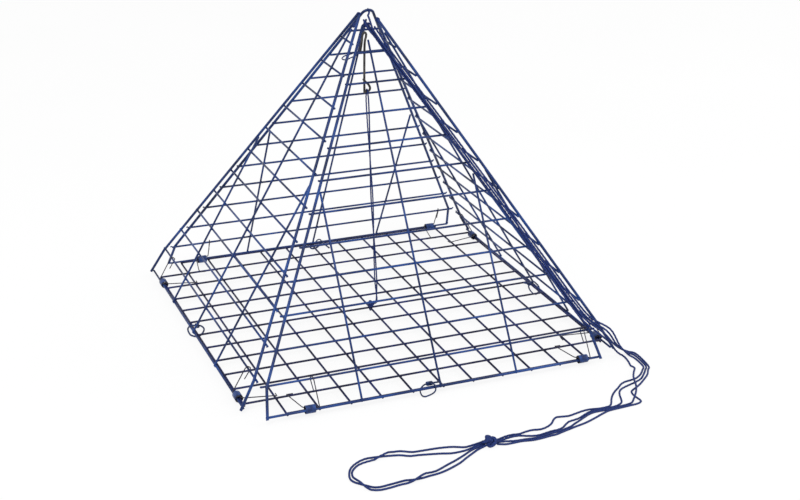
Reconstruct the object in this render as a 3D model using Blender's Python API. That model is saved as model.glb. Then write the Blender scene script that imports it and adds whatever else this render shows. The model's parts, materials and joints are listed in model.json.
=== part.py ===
"""Star crab trap.

A square base of welded, coated wire carries a triangular wire panel on each
edge. The panels stand closed as a pyramid. Torsion springs in plastic sleeves
open them flat like a star, and cords tied to the four tips pull them shut.
A hook on a doubled cord from the middle of the base keeps them closed.

Lengths are millimetres and angles degrees until a mesh is written in metres.
"""

import math

import bmesh
import bpy
from mathutils import Matrix, Vector

# Base grid
MESH_PITCH = 25.4
BASE_CELLS = 12
GRID_WIRE = 1.7
WELD_DEPTH = 0.3
BASE_POKE = 1.2

# Panels
FRAME_WIRE = 2.3
PANEL_INSET = 12.3
PANEL_SLANT = 298.3
LEG_BEND = 23.0
ROW_PITCH = 24.9
PANEL_ROWS = 11
TIP_RADIUS = {"front": 3.0, "right": 3.0, "back": 5.5, "left": 3.0}
LEG_TAIL = 2.0
ROW_POKE = 0.8
CENTRE_WIRE_TOP = 282.0
SIDE_WIRE_OFFSET = 65.0
SIDE_WIRE_TOP = 162.5
WIRE_TAIL = 0.5

# Hinges: where each panel's bottom wire lies beside the base's outer wire
HINGE_OUT = 2.3
HINGE_RISE = 0.5
SIDES = ("front", "right", "back", "left")
# How far each panel's sharp tip reaches past the trap's middle when it is closed
TIP_PAST_MIDDLE = {"front": 10.81, "right": -0.17, "back": -10.08, "left": -6.0}
PANEL_SHIFT = {"front": -3.8, "right": -1.2, "back": -1.8, "left": -7.2}

# Sleeves and torsion springs
SLEEVE_LENGTH = 9.0
SLEEVE_WALL = 0.4
SLEEVE_SIDES = 12
SPRING_WIRE = 0.7
SPRING_TURNS = 2
COIL_POINTS = 10
COIL_START = 60.0
COIL_OVERRUN = 0.2
COIL_GAP = 0.2
SLEEVE_GAP = 0.1
SPRING_HOOK_RUN = 6.0
SPRING_ARM_RETURN = 9.0
SPRING_ARM_SPREAD = 1.3
SPRING_ARM_FOOT = (1.2, 1.5)
# Edge, name, the base wire that the sleeve lies beside, on which side of it and how
# far from it, and the way in which the arm on the base leaves
SPRINGS = (
    ("front", "front_left", 2, -1, 1.9, -1),
    ("front", "front_right", 11, -1, 0.5, -1),
    ("right", "right_front", 1, 1, 2.5, 1),
    ("right", "right_back", 11, -1, 0.5, -1),
    ("back", "back_right", 1, 1, 0.5, 1),
    ("back", "back_left", 10, 1, 0.7, 1),
    ("left", "left_back", 1, 1, 6.5, 1),
    ("left", "left_front", 11, -1, 8.5, 1),
)

# Ties: thin straps closed as loose rings round both hinge wires
TIE_STRAP = 1.3
TIE_SIDES = 6
TIE_STEP = 2.4
TIE_HEAD = (3.8, 3.0, 2.6)

# Hook and centre cord
HOOK_WIRE = 1.9
HOOK_PLACE = (-4.1, 7.5)
HOOK_DROP = 8.5
HOOK_SHANK = 49.5
HOOK_EYE_WIDTH = 4.6
HOOK_EYE_HEIGHT = 8.0
HOOK_POINT_DROP = 15.0

# Cords
CORD = 1.5
CORD_SPACING = 2.35
CORD_STEP = 6.8
TAUT_STEP = 17.0
KNOT_CORD = 1.5
KNOT_SIZE = (2.5, 2.9, 2.3)
GAP = 0.3
BUNDLE_LEFT = -6.1
BUNDLE_STACK_LEFT = -2.9
BUNDLE_FLAT_TO = 60.0
BUNDLE_STACKED_FROM = 110.0
BUNDLE_FAN = 7.0
BUNDLE_HANDOVER = 17.0
BUNDLE_SPREAD = 3.1
BUNDLE_HEIGHTS = (272.0, 240.0, 200.0, 160.0, 120.0, 80.0, 45.0)
HANDLE_KNOT_PLACE = (-3.0, -240.0)
HANDLE_KNOT_RING = 2.4
HANDLE_KNOT_TUBE = 1.25
CENTRE_CORD = 1.1
CENTRE_SPACING = 1.5
CENTRE_FOOT = 5.2
CENTRE_STEPS = 12
CENTRE_RING_POINTS = 10

METRES = 0.001
HEX = 6

# Places that follow from the sizes above
BASE_HALF = MESH_PITCH * BASE_CELLS / 2
PANEL_HALF_WIDTH = BASE_HALF - PANEL_INSET
GRID_CORNER = GRID_WIRE / 2 / math.cos(math.pi / HEX)
FRAME_CORNER = FRAME_WIRE / 2 / math.cos(math.pi / HEX)
PAIR_RADIUS = math.hypot(HINGE_OUT, HINGE_RISE) / 2 + GRID_CORNER
COIL_RADIUS = (PAIR_RADIUS + COIL_GAP + SPRING_WIRE / 2) / math.cos(math.pi / COIL_POINTS)
SLEEVE_BORE = 2 * (COIL_RADIUS + SPRING_WIRE / 2 + SLEEVE_GAP)
SLEEVE_DIAMETER = SLEEVE_BORE + 2 * SLEEVE_WALL
LOW_WIRE = SLEEVE_DIAMETER / 2 - HINGE_RISE / 2
HIGH_WIRE = LOW_WIRE + GRID_WIRE - WELD_DEPTH
EDGE_HEIGHT = {"front": HIGH_WIRE, "right": LOW_WIRE, "back": HIGH_WIRE, "left": LOW_WIRE}
FRAME_RISE = (GRID_WIRE + FRAME_WIRE) / 2 - WELD_DEPTH
LEG_LEAN = math.atan2(PANEL_HALF_WIDTH, PANEL_SLANT - LEG_BEND)
TIP_TOP = {side: PANEL_SLANT - radius / math.sin(LEG_LEAN) + radius for side, radius in TIP_RADIUS.items()}
SPRING_LIFT = GRID_CORNER + GAP + SPRING_WIRE / 2
CLOSED_ANGLE = {
    side: math.degrees(math.acos((BASE_HALF + HINGE_OUT + past) / PANEL_SLANT))
    for side, past in TIP_PAST_MIDDLE.items()
}
FRONT_TIP_HEIGHT = HIGH_WIRE + HINGE_RISE + PANEL_SLANT * math.sin(math.radians(CLOSED_ANGLE["front"]))
HOOK_TOP = FRONT_TIP_HEIGHT - HOOK_DROP
HOOK_EYE_BOTTOM = HOOK_TOP - HOOK_SHANK
CORD_REST = CORD / 2 + 0.05


def remove_everything():
    for item in list(bpy.data.objects):
        bpy.data.objects.remove(item, do_unlink=True)


def finish(name, colour, roughness, metallic=0.0):
    made = bpy.data.materials.get(name)
    if made is None:
        made = bpy.data.materials.new(name)
        made.use_nodes = True
        shader = made.node_tree.nodes["Principled BSDF"]
        shader.inputs["Base Color"].default_value = (*colour, 1.0)
        shader.inputs["Roughness"].default_value = roughness
        shader.inputs["Metallic"].default_value = metallic
        made.diffuse_color = (*colour, 1.0)
    return made


def coated_wire():
    return finish("coated_wire", (0.022, 0.036, 0.14), 0.38)


def frame_coating():
    return finish("frame_coating", (0.018, 0.05, 0.22), 0.35)


def sleeve_plastic():
    return finish("sleeve_plastic", (0.03, 0.1, 0.36), 0.42)


def spring_steel():
    return finish("spring_steel", (0.36, 0.37, 0.4), 0.32, 1.0)


def tie_nylon():
    return finish("tie_nylon", (0.03, 0.05, 0.13), 0.45)


def hook_steel():
    return finish("hook_steel", (0.09, 0.085, 0.08), 0.4, 0.8)


def cord_braid():
    return finish("cord_braid", (0.03, 0.09, 0.34), 0.8)


def add_empty(name, location, rotation, parent=None):
    """A frame of reference: it carries pieces and isn't one itself."""
    empty = bpy.data.objects.new(name, None)
    empty.location = Vector(location) * METRES
    empty.rotation_euler = rotation
    empty.parent = parent
    bpy.context.scene.collection.objects.link(empty)
    return empty


def add_mesh(name, bm, material, parent=None):
    """Write a bmesh built in millimetres as an object in metres."""
    bmesh.ops.recalc_face_normals(bm, faces=bm.faces)
    bmesh.ops.scale(bm, vec=(METRES, METRES, METRES), verts=bm.verts)
    mesh = bpy.data.meshes.new(name)
    bm.to_mesh(mesh)
    bm.free()
    mesh.materials.append(material)
    mesh.shade_smooth()
    mesh.set_sharp_from_angle(angle=math.radians(35))
    made = bpy.data.objects.new(name, mesh)
    made.parent = parent
    bpy.context.scene.collection.objects.link(made)
    return made


def join_by_union(piece, other):
    """Weld another object's bodies onto a piece; the other stays as a hidden cutter."""
    other.hide_render = True
    other.display_type = "WIRE"
    weld = piece.modifiers.new("weld", "BOOLEAN")
    weld.operation = "UNION"
    weld.solver = "EXACT"
    weld.object = other


def turn_frame(normal, old_tangent, tangent):
    """Carry a cross-section's first axis from one tangent to the next."""
    return old_tangent.rotation_difference(tangent) @ normal


def add_tube(bm, points, radius, sides, up):
    """Sweep a polygon along a line of points, mitred at the bends and capped."""
    points = [Vector(point) for point in points]
    runs = [(b - a).normalized() for a, b in zip(points, points[1:])]
    across = runs[0].cross(Vector(up)).normalized()
    rings = []
    for index, point in enumerate(points):
        before = runs[max(index - 1, 0)]
        after = runs[min(index, len(runs) - 1)]
        tangent = (before + after).normalized()
        if index > 0:
            across = turn_frame(across, runs[index - 1], after)
        side = (across - across.dot(tangent) * tangent).normalized()
        over = side.cross(tangent)
        bend = before.cross(after)
        stretch = 1.0 / max(tangent.dot(after), 0.5)
        ring = []
        for corner in range(sides):
            turn = 2 * math.pi * corner / sides
            spoke = side * math.cos(turn) + over * math.sin(turn)
            if bend.length > 0.01:
                hinge = bend.normalized()
                inside = hinge.cross(tangent)
                spoke += inside * spoke.dot(inside) * (stretch - 1.0)
            ring.append(bm.verts.new(point + spoke * radius))
        rings.append(ring)
    for ring, following in zip(rings, rings[1:]):
        for corner in range(sides):
            beside = (corner + 1) % sides
            bm.faces.new((ring[corner], ring[beside], following[beside], following[corner]))
    bm.faces.new(rings[0][::-1])
    bm.faces.new(rings[-1])


def add_ring(bm, centre, reaches, tube_radius, first, second, ring_points, tube_points):
    """A closed round or oval ring of cord in the plane of two axes."""
    first = Vector(first)
    second = Vector(second)
    axis = first.cross(second)
    rows = []
    for step in range(ring_points):
        turn = 2 * math.pi * step / ring_points
        spoke = first * math.cos(turn) + second * math.sin(turn)
        line = first * reaches[0] * math.cos(turn) + second * reaches[1] * math.sin(turn)
        row = []
        for part in range(tube_points):
            roll = 2 * math.pi * part / tube_points
            offset = spoke * math.cos(roll) + axis * math.sin(roll)
            row.append(bm.verts.new(Vector(centre) + line + offset * tube_radius))
        rows.append(row)
    for step in range(ring_points):
        row = rows[step]
        following = rows[(step + 1) % ring_points]
        for part in range(tube_points):
            beside = (part + 1) % tube_points
            bm.faces.new((row[part], row[beside], following[beside], following[part]))


def smooth_route(points, step, closed=False):
    """Read points at an even step from a smooth curve through a route's own points."""
    points = [Vector(point) for point in points]
    if closed:
        ends = [points[-1]] + points + points[:2]
    else:
        ends = [2 * points[0] - points[1]] + points + [2 * points[-1] - points[-2]]
    fine = []
    pieces = 24
    for a, b, c, d in zip(ends, ends[1:], ends[2:], ends[3:]):
        for part in range(pieces):
            t = part / pieces
            fine.append(0.5 * (2 * b + (c - a) * t + (2 * a - 5 * b + 4 * c - d) * t ** 2
                               + (3 * b - a - 3 * c + d) * t ** 3))
    fine.append(ends[-2])
    lengths = [0.0]
    for a, b in zip(fine, fine[1:]):
        lengths.append(lengths[-1] + (b - a).length)
    count = max(2, round(lengths[-1] / step))
    route = []
    place = 0
    for mark in range(count + 1):
        want = lengths[-1] * mark / count
        while place < len(fine) - 2 and lengths[place + 1] < want:
            place += 1
        share = (want - lengths[place]) / max(lengths[place + 1] - lengths[place], 1e-9)
        route.append(fine[place].lerp(fine[place + 1], share))
    return route


def route_length(route):
    return sum((b - a).length for a, b in zip(route, route[1:]))


def add_cord(name, route, diameter, material, parent=None, roundness=2):
    """A cord as a bevelled curve with filled ends, along points already smoothed."""
    curve = bpy.data.curves.new(name, "CURVE")
    curve.dimensions = "3D"
    curve.bevel_depth = diameter / 2 * METRES
    curve.bevel_resolution = roundness
    curve.use_fill_caps = True
    spline = curve.splines.new("POLY")
    spline.points.add(len(route) - 1)
    for point, place in zip(spline.points, route):
        point.co = (*(place * METRES), 1.0)
    curve.materials.append(material)
    made = bpy.data.objects.new(name, curve)
    made.parent = parent
    bpy.context.scene.collection.objects.link(made)
    return made


def grid_line(index):
    return -BASE_HALF + MESH_PITCH * index


def grid_reach(index):
    """Half the length of a base wire: the outer ones stop short of the cut corners."""
    if index in (0, BASE_CELLS):
        return BASE_HALF - MESH_PITCH + BASE_POKE
    return BASE_HALF + BASE_POKE


def build_base():
    up = (0, 0, 1)
    along_y = bmesh.new()
    along_x = bmesh.new()
    for index in range(BASE_CELLS + 1):
        line = grid_line(index)
        reach = grid_reach(index)
        add_tube(along_y, [(line, -reach, LOW_WIRE), (line, reach, LOW_WIRE)], GRID_CORNER, HEX, up)
        add_tube(along_x, [(-reach, line, HIGH_WIRE), (reach, line, HIGH_WIRE)], GRID_CORNER, HEX, up)
    lower = add_mesh("base_grid", along_y, coated_wire())
    upper = add_mesh("base_cross_wires", along_x, coated_wire())
    join_by_union(lower, upper)


def leg_place(height):
    """How far a leg's centre line stands from the panel's middle at a height."""
    if height <= LEG_BEND:
        return PANEL_HALF_WIDTH
    return PANEL_HALF_WIDTH * (PANEL_SLANT - height) / (PANEL_SLANT - LEG_BEND)


def frame_route(side):
    """The panel's outer wire: up one leg, round the tip and down the other leg."""
    radius = TIP_RADIUS[side]
    centre = TIP_TOP[side] - radius
    arc = []
    steps = 6
    for step in range(steps + 1):
        turn = LEG_LEAN + (math.pi - 2 * LEG_LEAN) * step / steps
        arc.append((radius * math.cos(turn), centre + radius * math.sin(turn), FRAME_RISE))
    right = [(PANEL_HALF_WIDTH, -LEG_TAIL, FRAME_RISE), (PANEL_HALF_WIDTH, LEG_BEND, FRAME_RISE)]
    left = [(-x, y, z) for x, y, z in reversed(right)]
    return right + arc + left


def row_heights():
    return [0.0] + [LEG_BEND + ROW_PITCH * row for row in range(PANEL_ROWS)]


def build_panel(side, hinge):
    """One triangular panel; its own X runs along the hinge and its Z points out."""
    out = (0, 0, 1)
    frame = bmesh.new()
    add_tube(frame, frame_route(side), FRAME_CORNER, HEX, out)
    uprights = [(0, CENTRE_WIRE_TOP), (-SIDE_WIRE_OFFSET, SIDE_WIRE_TOP), (SIDE_WIRE_OFFSET, SIDE_WIRE_TOP)]
    rise = GRID_WIRE - WELD_DEPTH
    for place, top in uprights:
        add_tube(frame, [(place, -WIRE_TAIL, rise), (place, top, rise)], GRID_CORNER, HEX, out)
    rows = bmesh.new()
    for height in row_heights():
        slope = math.cos(LEG_LEAN) if height > LEG_BEND else 1.0
        reach = leg_place(height) + FRAME_WIRE / 2 / slope + ROW_POKE
        add_tube(rows, [(-reach, height, 0), (reach, height, 0)], GRID_CORNER, HEX, out)
    panel = add_mesh("panel_" + side, frame, frame_coating(), hinge)
    cross = add_mesh("panel_" + side + "_rows", rows, coated_wire(), hinge)
    join_by_union(panel, cross)


def build_sleeve(name, place, edge):
    """A plastic tube round the base's edge wire and the panel's bottom wire."""
    bm = bmesh.new()
    centre = Vector((0, -HINGE_OUT / 2, HINGE_RISE / 2))
    half_step = math.pi / SLEEVE_SIDES
    loops = []
    for across, end in ((SLEEVE_DIAMETER, -1), (SLEEVE_DIAMETER, 1), (SLEEVE_BORE, 1), (SLEEVE_BORE, -1)):
        loop = []
        for corner in range(SLEEVE_SIDES):
            turn = half_step + 2 * half_step * corner
            spoke = Vector((0, math.cos(turn), math.sin(turn))) * across / 2 / math.cos(half_step)
            loop.append(bm.verts.new(centre + spoke + Vector((place + end * SLEEVE_LENGTH / 2, 0, 0))))
        loops.append(loop)
    for loop, following in zip(loops, loops[1:] + loops[:1]):
        for corner in range(SLEEVE_SIDES):
            beside = (corner + 1) % SLEEVE_SIDES
            bm.faces.new((loop[corner], loop[beside], following[beside], following[corner]))
    add_mesh("sleeve_" + name, bm, sleeve_plastic(), edge)


def coil_point(place, hand, share):
    """A point of the coil, from the base arm's end (0) to the panel arm's end (1)."""
    turn = math.radians(COIL_START) + 2 * math.pi * (SPRING_TURNS + COIL_OVERRUN) * share
    run = (share - 0.5) * (SLEEVE_LENGTH - SPRING_WIRE)
    return Vector((place - hand * run,
                   -HINGE_OUT / 2 + COIL_RADIUS * math.cos(turn),
                   HINGE_RISE / 2 + COIL_RADIUS * math.sin(turn)))


def build_spring(name, place, hand, edge):
    """The coil inside a sleeve with the arm that hooks the next wire of the base."""
    count = round(COIL_POINTS * (SPRING_TURNS + COIL_OVERRUN))
    coil = [coil_point(place, hand, step / count) for step in range(count + 1)]
    start = coil[0]
    outside = place + hand * (SLEEVE_LENGTH / 2 + SPRING_WIRE + GAP)
    behind = MESH_PITCH + GRID_CORNER + GAP + SPRING_WIRE
    arm = [
        (outside - hand * SPRING_HOOK_RUN / 6, behind, GRID_WIRE / 8),
        (outside + hand * SPRING_HOOK_RUN * 0.6, behind, GRID_WIRE / 8),
        (outside + hand * SPRING_HOOK_RUN * 0.75, MESH_PITCH + GRID_CORNER, SPRING_LIFT * 0.75),
        (outside + hand * SPRING_HOOK_RUN * 0.75, MESH_PITCH - GRID_WIRE, SPRING_LIFT),
        (outside + hand * SPRING_WIRE, 2 * GRID_WIRE, SPRING_LIFT + GAP),
        (outside, start.y, start.z),
    ]
    bm = bmesh.new()
    add_tube(bm, arm + coil, SPRING_WIRE / 2, 4, (0, 0, 1))
    add_mesh("spring_" + name, bm, spring_steel(), edge)
    pitch = (SLEEVE_LENGTH - SPRING_WIRE) / (SPRING_TURNS + COIL_OVERRUN)
    return pitch - SPRING_WIRE


def build_spring_arm(name, place, hand, side, hinge):
    """The spring's other arm: it hooks over the panel's lowest cross wire."""
    start = place - PANEL_SHIFT[side] - hand * (SLEEVE_LENGTH / 2 + GAP)
    aside = start - hand * (SPRING_WIRE + GAP)
    clear = GRID_CORNER + GAP + SPRING_WIRE / 2
    spread = hand * SPRING_ARM_SPREAD
    points = [
        (start, *SPRING_ARM_FOOT),
        (aside, *SPRING_ARM_FOOT),
        (aside, LEG_BEND - clear, clear),
        (aside + spread * 0.4, LEG_BEND + clear * 0.8, clear * 0.8),
        (aside + spread, LEG_BEND + clear * 0.8, -clear * 0.8),
        (aside + spread, LEG_BEND - clear, -clear),
        (aside + spread * 0.5, LEG_BEND - SPRING_ARM_RETURN, -clear),
    ]
    bm = bmesh.new()
    add_tube(bm, points, SPRING_WIRE / 2, 4, (0, 0, 1))
    add_mesh("spring_arm_" + name, bm, spring_steel(), hinge)


def add_box(bm, size, matrix):
    made = bmesh.ops.create_cube(bm, size=1.0)
    bmesh.ops.scale(bm, vec=size, verts=made["verts"])
    bmesh.ops.transform(bm, matrix=matrix, verts=made["verts"])


# Each tie as a ring in its edge's frame: along, into the trap, and height over the floor.
TIE_RINGS = {
    "front": [
        (-8.6, -4.6, 4.2), (-8.4, -3.6, 7.0), (-9.0, -1.2, 7.6), (-10.0, 1.4, 6.8), (-12.5, 3.2, 6.3),
        (-15.6, 3.6, 5.0), (-18.4, 2.4, 2.8), (-19.6, -0.8, 1.8), (-19.6, -4.4, 0.9), (-18.0, -6.0, 0.75),
        (-15.5, -5.6, 0.75), (-12.0, -4.9, 1.2), (-9.6, -4.9, 2.6),
    ],
    "right": [
        (-4.5, 0.2, 6.5), (-4.4, -2.6, 6.3), (-4.9, -4.6, 4.5), (-6.0, -6.2, 2.6), (-9.5, -5.6, 1.2),
        (-13.0, -3.4, 0.8), (-16.0, -0.8, 0.75), (-18.4, 1.8, 0.9), (-19.4, 4.2, 1.6), (-18.0, 6.0, 2.6),
        (-14.5, 6.4, 3.8), (-10.5, 5.6, 4.6), (-7.0, 4.0, 6.0), (-5.2, 2.2, 6.6),
    ],
    "back": [
        (2.2, -0.8, 2.4), (1.4, -4.2, 1.6), (-1.0, -6.0, 1.0), (-3.8, -6.6, 2.0), (-5.8, -6.2, 4.5),
        (-7.4, -5.2, 6.6), (-8.6, -3.4, 7.4), (-9.0, -0.6, 7.1), (-8.6, 1.8, 6.6), (-7.0, 3.2, 5.4),
        (-5.0, 3.2, 3.6), (-2.6, 2.8, 1.9), (0.4, 1.8, 1.2), (2.0, 0.6, 1.6),
    ],
    "left": [
        (-15.2, 0.9, 6.3), (-17.6, -2.0, 6.1), (-18.0, -4.7, 4.0), (-16.5, -5.2, 2.0), (-11.5, -4.8, 0.75),
        (-8.0, -3.2, 0.75), (-5.9, -0.6, 0.75), (-6.6, 2.0, 0.8), (-9.6, 5.2, 1.3), (-12.6, 7.4, 2.6),
        (-13.4, 6.9, 4.6), (-14.2, 4.4, 6.3),
    ],
}
# Where each tie's head sits, and the end of its cut tail, in the same frame.
TIE_HEADS = {
    "front": ((-12.3, 3.2, 6.5), (-1.0, 2.6, 6.4)),
    "right": ((-6.8, 3.8, 6.2), (-5.0, 8.5, 7.4)),
    "back": ((-8.6, 2.4, 7.0), (-9.3, 21.0, 8.0)),
    "left": ((-14.3, 4.4, 6.5), (-19.5, 6.0, 8.0)),
}


def add_loop(bm, route, radius, sides):
    """A closed tube along a ring of points."""
    middle = sum(route, Vector()) / len(route)
    rows = []
    for index, point in enumerate(route):
        tangent = (route[(index + 1) % len(route)] - route[index - 1]).normalized()
        outward = point - middle
        outward = (outward - outward.dot(tangent) * tangent).normalized()
        over = outward.cross(tangent)
        row = []
        for corner in range(sides):
            turn = 2 * math.pi * corner / sides
            row.append(bm.verts.new(point + (outward * math.cos(turn) + over * math.sin(turn)) * radius))
        rows.append(row)
    for index, row in enumerate(rows):
        following = rows[(index + 1) % len(rows)]
        for corner in range(sides):
            beside = (corner + 1) % sides
            bm.faces.new((row[corner], row[beside], following[beside], following[corner]))


def build_tie(side, edge):
    """A loose ring round both hinge wires, with its head and cut tail."""
    to_floor = Vector((0, 0, -EDGE_HEIGHT[side]))
    ring = smooth_route(TIE_RINGS[side], TIE_STEP, closed=True)[:-1]
    head, tail = [Vector(place) + to_floor for place in TIE_HEADS[side]]
    bm = bmesh.new()
    add_loop(bm, [point + to_floor for point in ring], TIE_STRAP / 2, TIE_SIDES)
    strap = add_mesh("tie_" + side, bm, tie_nylon(), edge)
    box = bmesh.new()
    add_box(box, TIE_HEAD, Matrix.Translation(head))
    stub = bmesh.new()
    add_tube(stub, [head, tail], TIE_STRAP / 2, TIE_SIDES, (0, 0, 1))
    join_by_union(strap, add_mesh("tie_" + side + "_head", box, tie_nylon(), edge))
    join_by_union(strap, add_mesh("tie_" + side + "_tail", stub, tie_nylon(), edge))


def hook_route():
    """The hook's wire, from its point over the top, down the shank and round the eye."""
    x, y = HOOK_PLACE
    low = HOOK_EYE_BOTTOM
    top = HOOK_TOP
    front = y - HOOK_WIRE - GAP
    return [
        (x - 3.6, y, top - HOOK_POINT_DROP),
        (x - 2.4, y, top - HOOK_POINT_DROP / 2),
        (x - 2.0, y, top - 3.0),
        (x - 1.2, y, top - 0.9),
        (x + 0.2, y, top),
        (x + 1.2, y, top - 1.2),
        (x + 1.2, y, top - 3.6),
        (x, y, top - HOOK_POINT_DROP * 0.8),
        (x, y, low + HOOK_WIRE),
        (x + 0.6, y, low + 0.5),
        (x + HOOK_EYE_WIDTH / 2, y, low),
        (x + HOOK_EYE_WIDTH - 0.6, y - 0.3, low + 0.8),
        (x + HOOK_EYE_WIDTH, y - 0.9, low + HOOK_EYE_HEIGHT * 0.4),
        (x + HOOK_EYE_WIDTH * 0.6, front, low + HOOK_EYE_HEIGHT * 0.8),
        (x, front, low + HOOK_EYE_HEIGHT * 1.15),
        (x - HOOK_WIRE, front, low + HOOK_EYE_HEIGHT * 1.45),
    ]


def build_hook():
    bm = bmesh.new()
    add_tube(bm, hook_route(), HOOK_WIRE / 2, HEX, (0, 1, 0))
    add_mesh("centre_hook", bm, hook_steel())


def knot_height():
    return HIGH_WIRE + GRID_CORNER + GAP


def build_centre_knot():
    """The knot that ties the doubled cord over the middle crossing of the base."""
    bm = bmesh.new()
    made = bmesh.ops.create_uvsphere(bm, u_segments=8, v_segments=6, radius=1.0)
    bmesh.ops.scale(bm, vec=KNOT_SIZE, verts=made["verts"])
    bmesh.ops.translate(bm, vec=(0, 0, knot_height() + KNOT_SIZE[2]), verts=made["verts"])
    knot = add_mesh("centre_knot", bm, cord_braid())
    loop = bmesh.new()
    reach = GRID_CORNER + GAP + KNOT_CORD / 2
    low = LOW_WIRE - reach
    high = knot_height() + KNOT_SIZE[2]
    add_ring(loop, (0, reach, (low + high) / 2), (reach, (high - low) / 2), KNOT_CORD / 2,
             (1, 0, 0), (0, 0, 1), CENTRE_RING_POINTS, 5)
    join_by_union(knot, add_mesh("centre_knot_loop", loop, cord_braid()))


# How far the centre cord's two strands have turned round each other at a height, in degrees.
CENTRE_TWIST = ((12.0, 630.0), (23.0, 540.0), (66.0, 450.0), (95.0, 360.0), (128.0, 270.0), (172.0, 180.0),
                (188.0, 90.0))


def twist_at(height):
    for (low, first), (high, second) in zip(CENTRE_TWIST, CENTRE_TWIST[1:]):
        if height <= high:
            break
    return math.radians(first + (second - first) * (height - low) / (high - low))


def centre_strand(way):
    """One strand of the doubled cord, from the knot's side up to the hook's eye."""
    seat = knot_height() + KNOT_SIZE[2]
    half = way * CENTRE_SPACING / 2
    foot = Vector((CENTRE_FOOT, 0, seat))
    top = Vector((HOOK_PLACE[0] + HOOK_EYE_WIDTH / 2, HOOK_PLACE[1], HOOK_EYE_BOTTOM - HOOK_WIRE / 2))
    start = KNOT_SIZE[0] + GAP
    points = [Vector((start, -half, seat)), Vector(((start + CENTRE_FOOT) / 2, -half, seat))]
    lowest = CENTRE_TWIST[0][0]
    highest = CENTRE_TWIST[-1][0]
    for step in range(CENTRE_STEPS + 1):
        height = lowest + (highest - lowest) * step / CENTRE_STEPS
        middle = foot.lerp(top, (height - seat) / (top.z - seat))
        turn = twist_at(height)
        points.append(middle + half * Vector((math.cos(turn), math.sin(turn), 0)))
    points.append(top + Vector((0, way * ((HOOK_WIRE + CENTRE_CORD) / 2 + GAP), 0)))
    return points


def build_centre_cord():
    """One cord, doubled: up from the knot, through the hook's eye and down again."""
    up = centre_strand(-1)
    down = centre_strand(1)
    side = down[-1].y - HOOK_PLACE[1]
    crest = Vector((up[-1].x, HOOK_PLACE[1], HOOK_EYE_BOTTOM))
    over = [
        crest + Vector((0, -side * 0.7, side * 0.75)),
        crest + Vector((0, 0, side)),
        crest + Vector((0, side * 0.7, side * 0.75)),
    ]
    bend = smooth_route([up[-1]] + over + [down[-1]], CENTRE_CORD)
    route = up[:-1] + bend + down[-2::-1]
    add_cord("centre_cord", route, CENTRE_CORD, cord_braid())
    return route_length(route)


# The four cords, in their order across the bundle from left to right.
CORD_ORDER = ("left", "back", "front", "right")
# Route points near the tips, in the front panel's own frame: along, up, out.
CORD_TOPS = {
    "left": [(-3.0, 297.0, 8.0), (0.2, 289.5, 6.0), (5.0, 283.0, 4.3)],
    "back": [(3.3, 301.6, 3.6), (2.5, 297.0, 7.2), (3.6, 289.0, 6.9), (6.2, 283.0, 6.35)],
    "front": [(3.0, 291.0, 4.2), (7.4, 283.0, 4.1)],
    "right": [(4.4, 290.0, 9.4), (8.6, 283.5, 7.0)],
}
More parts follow.
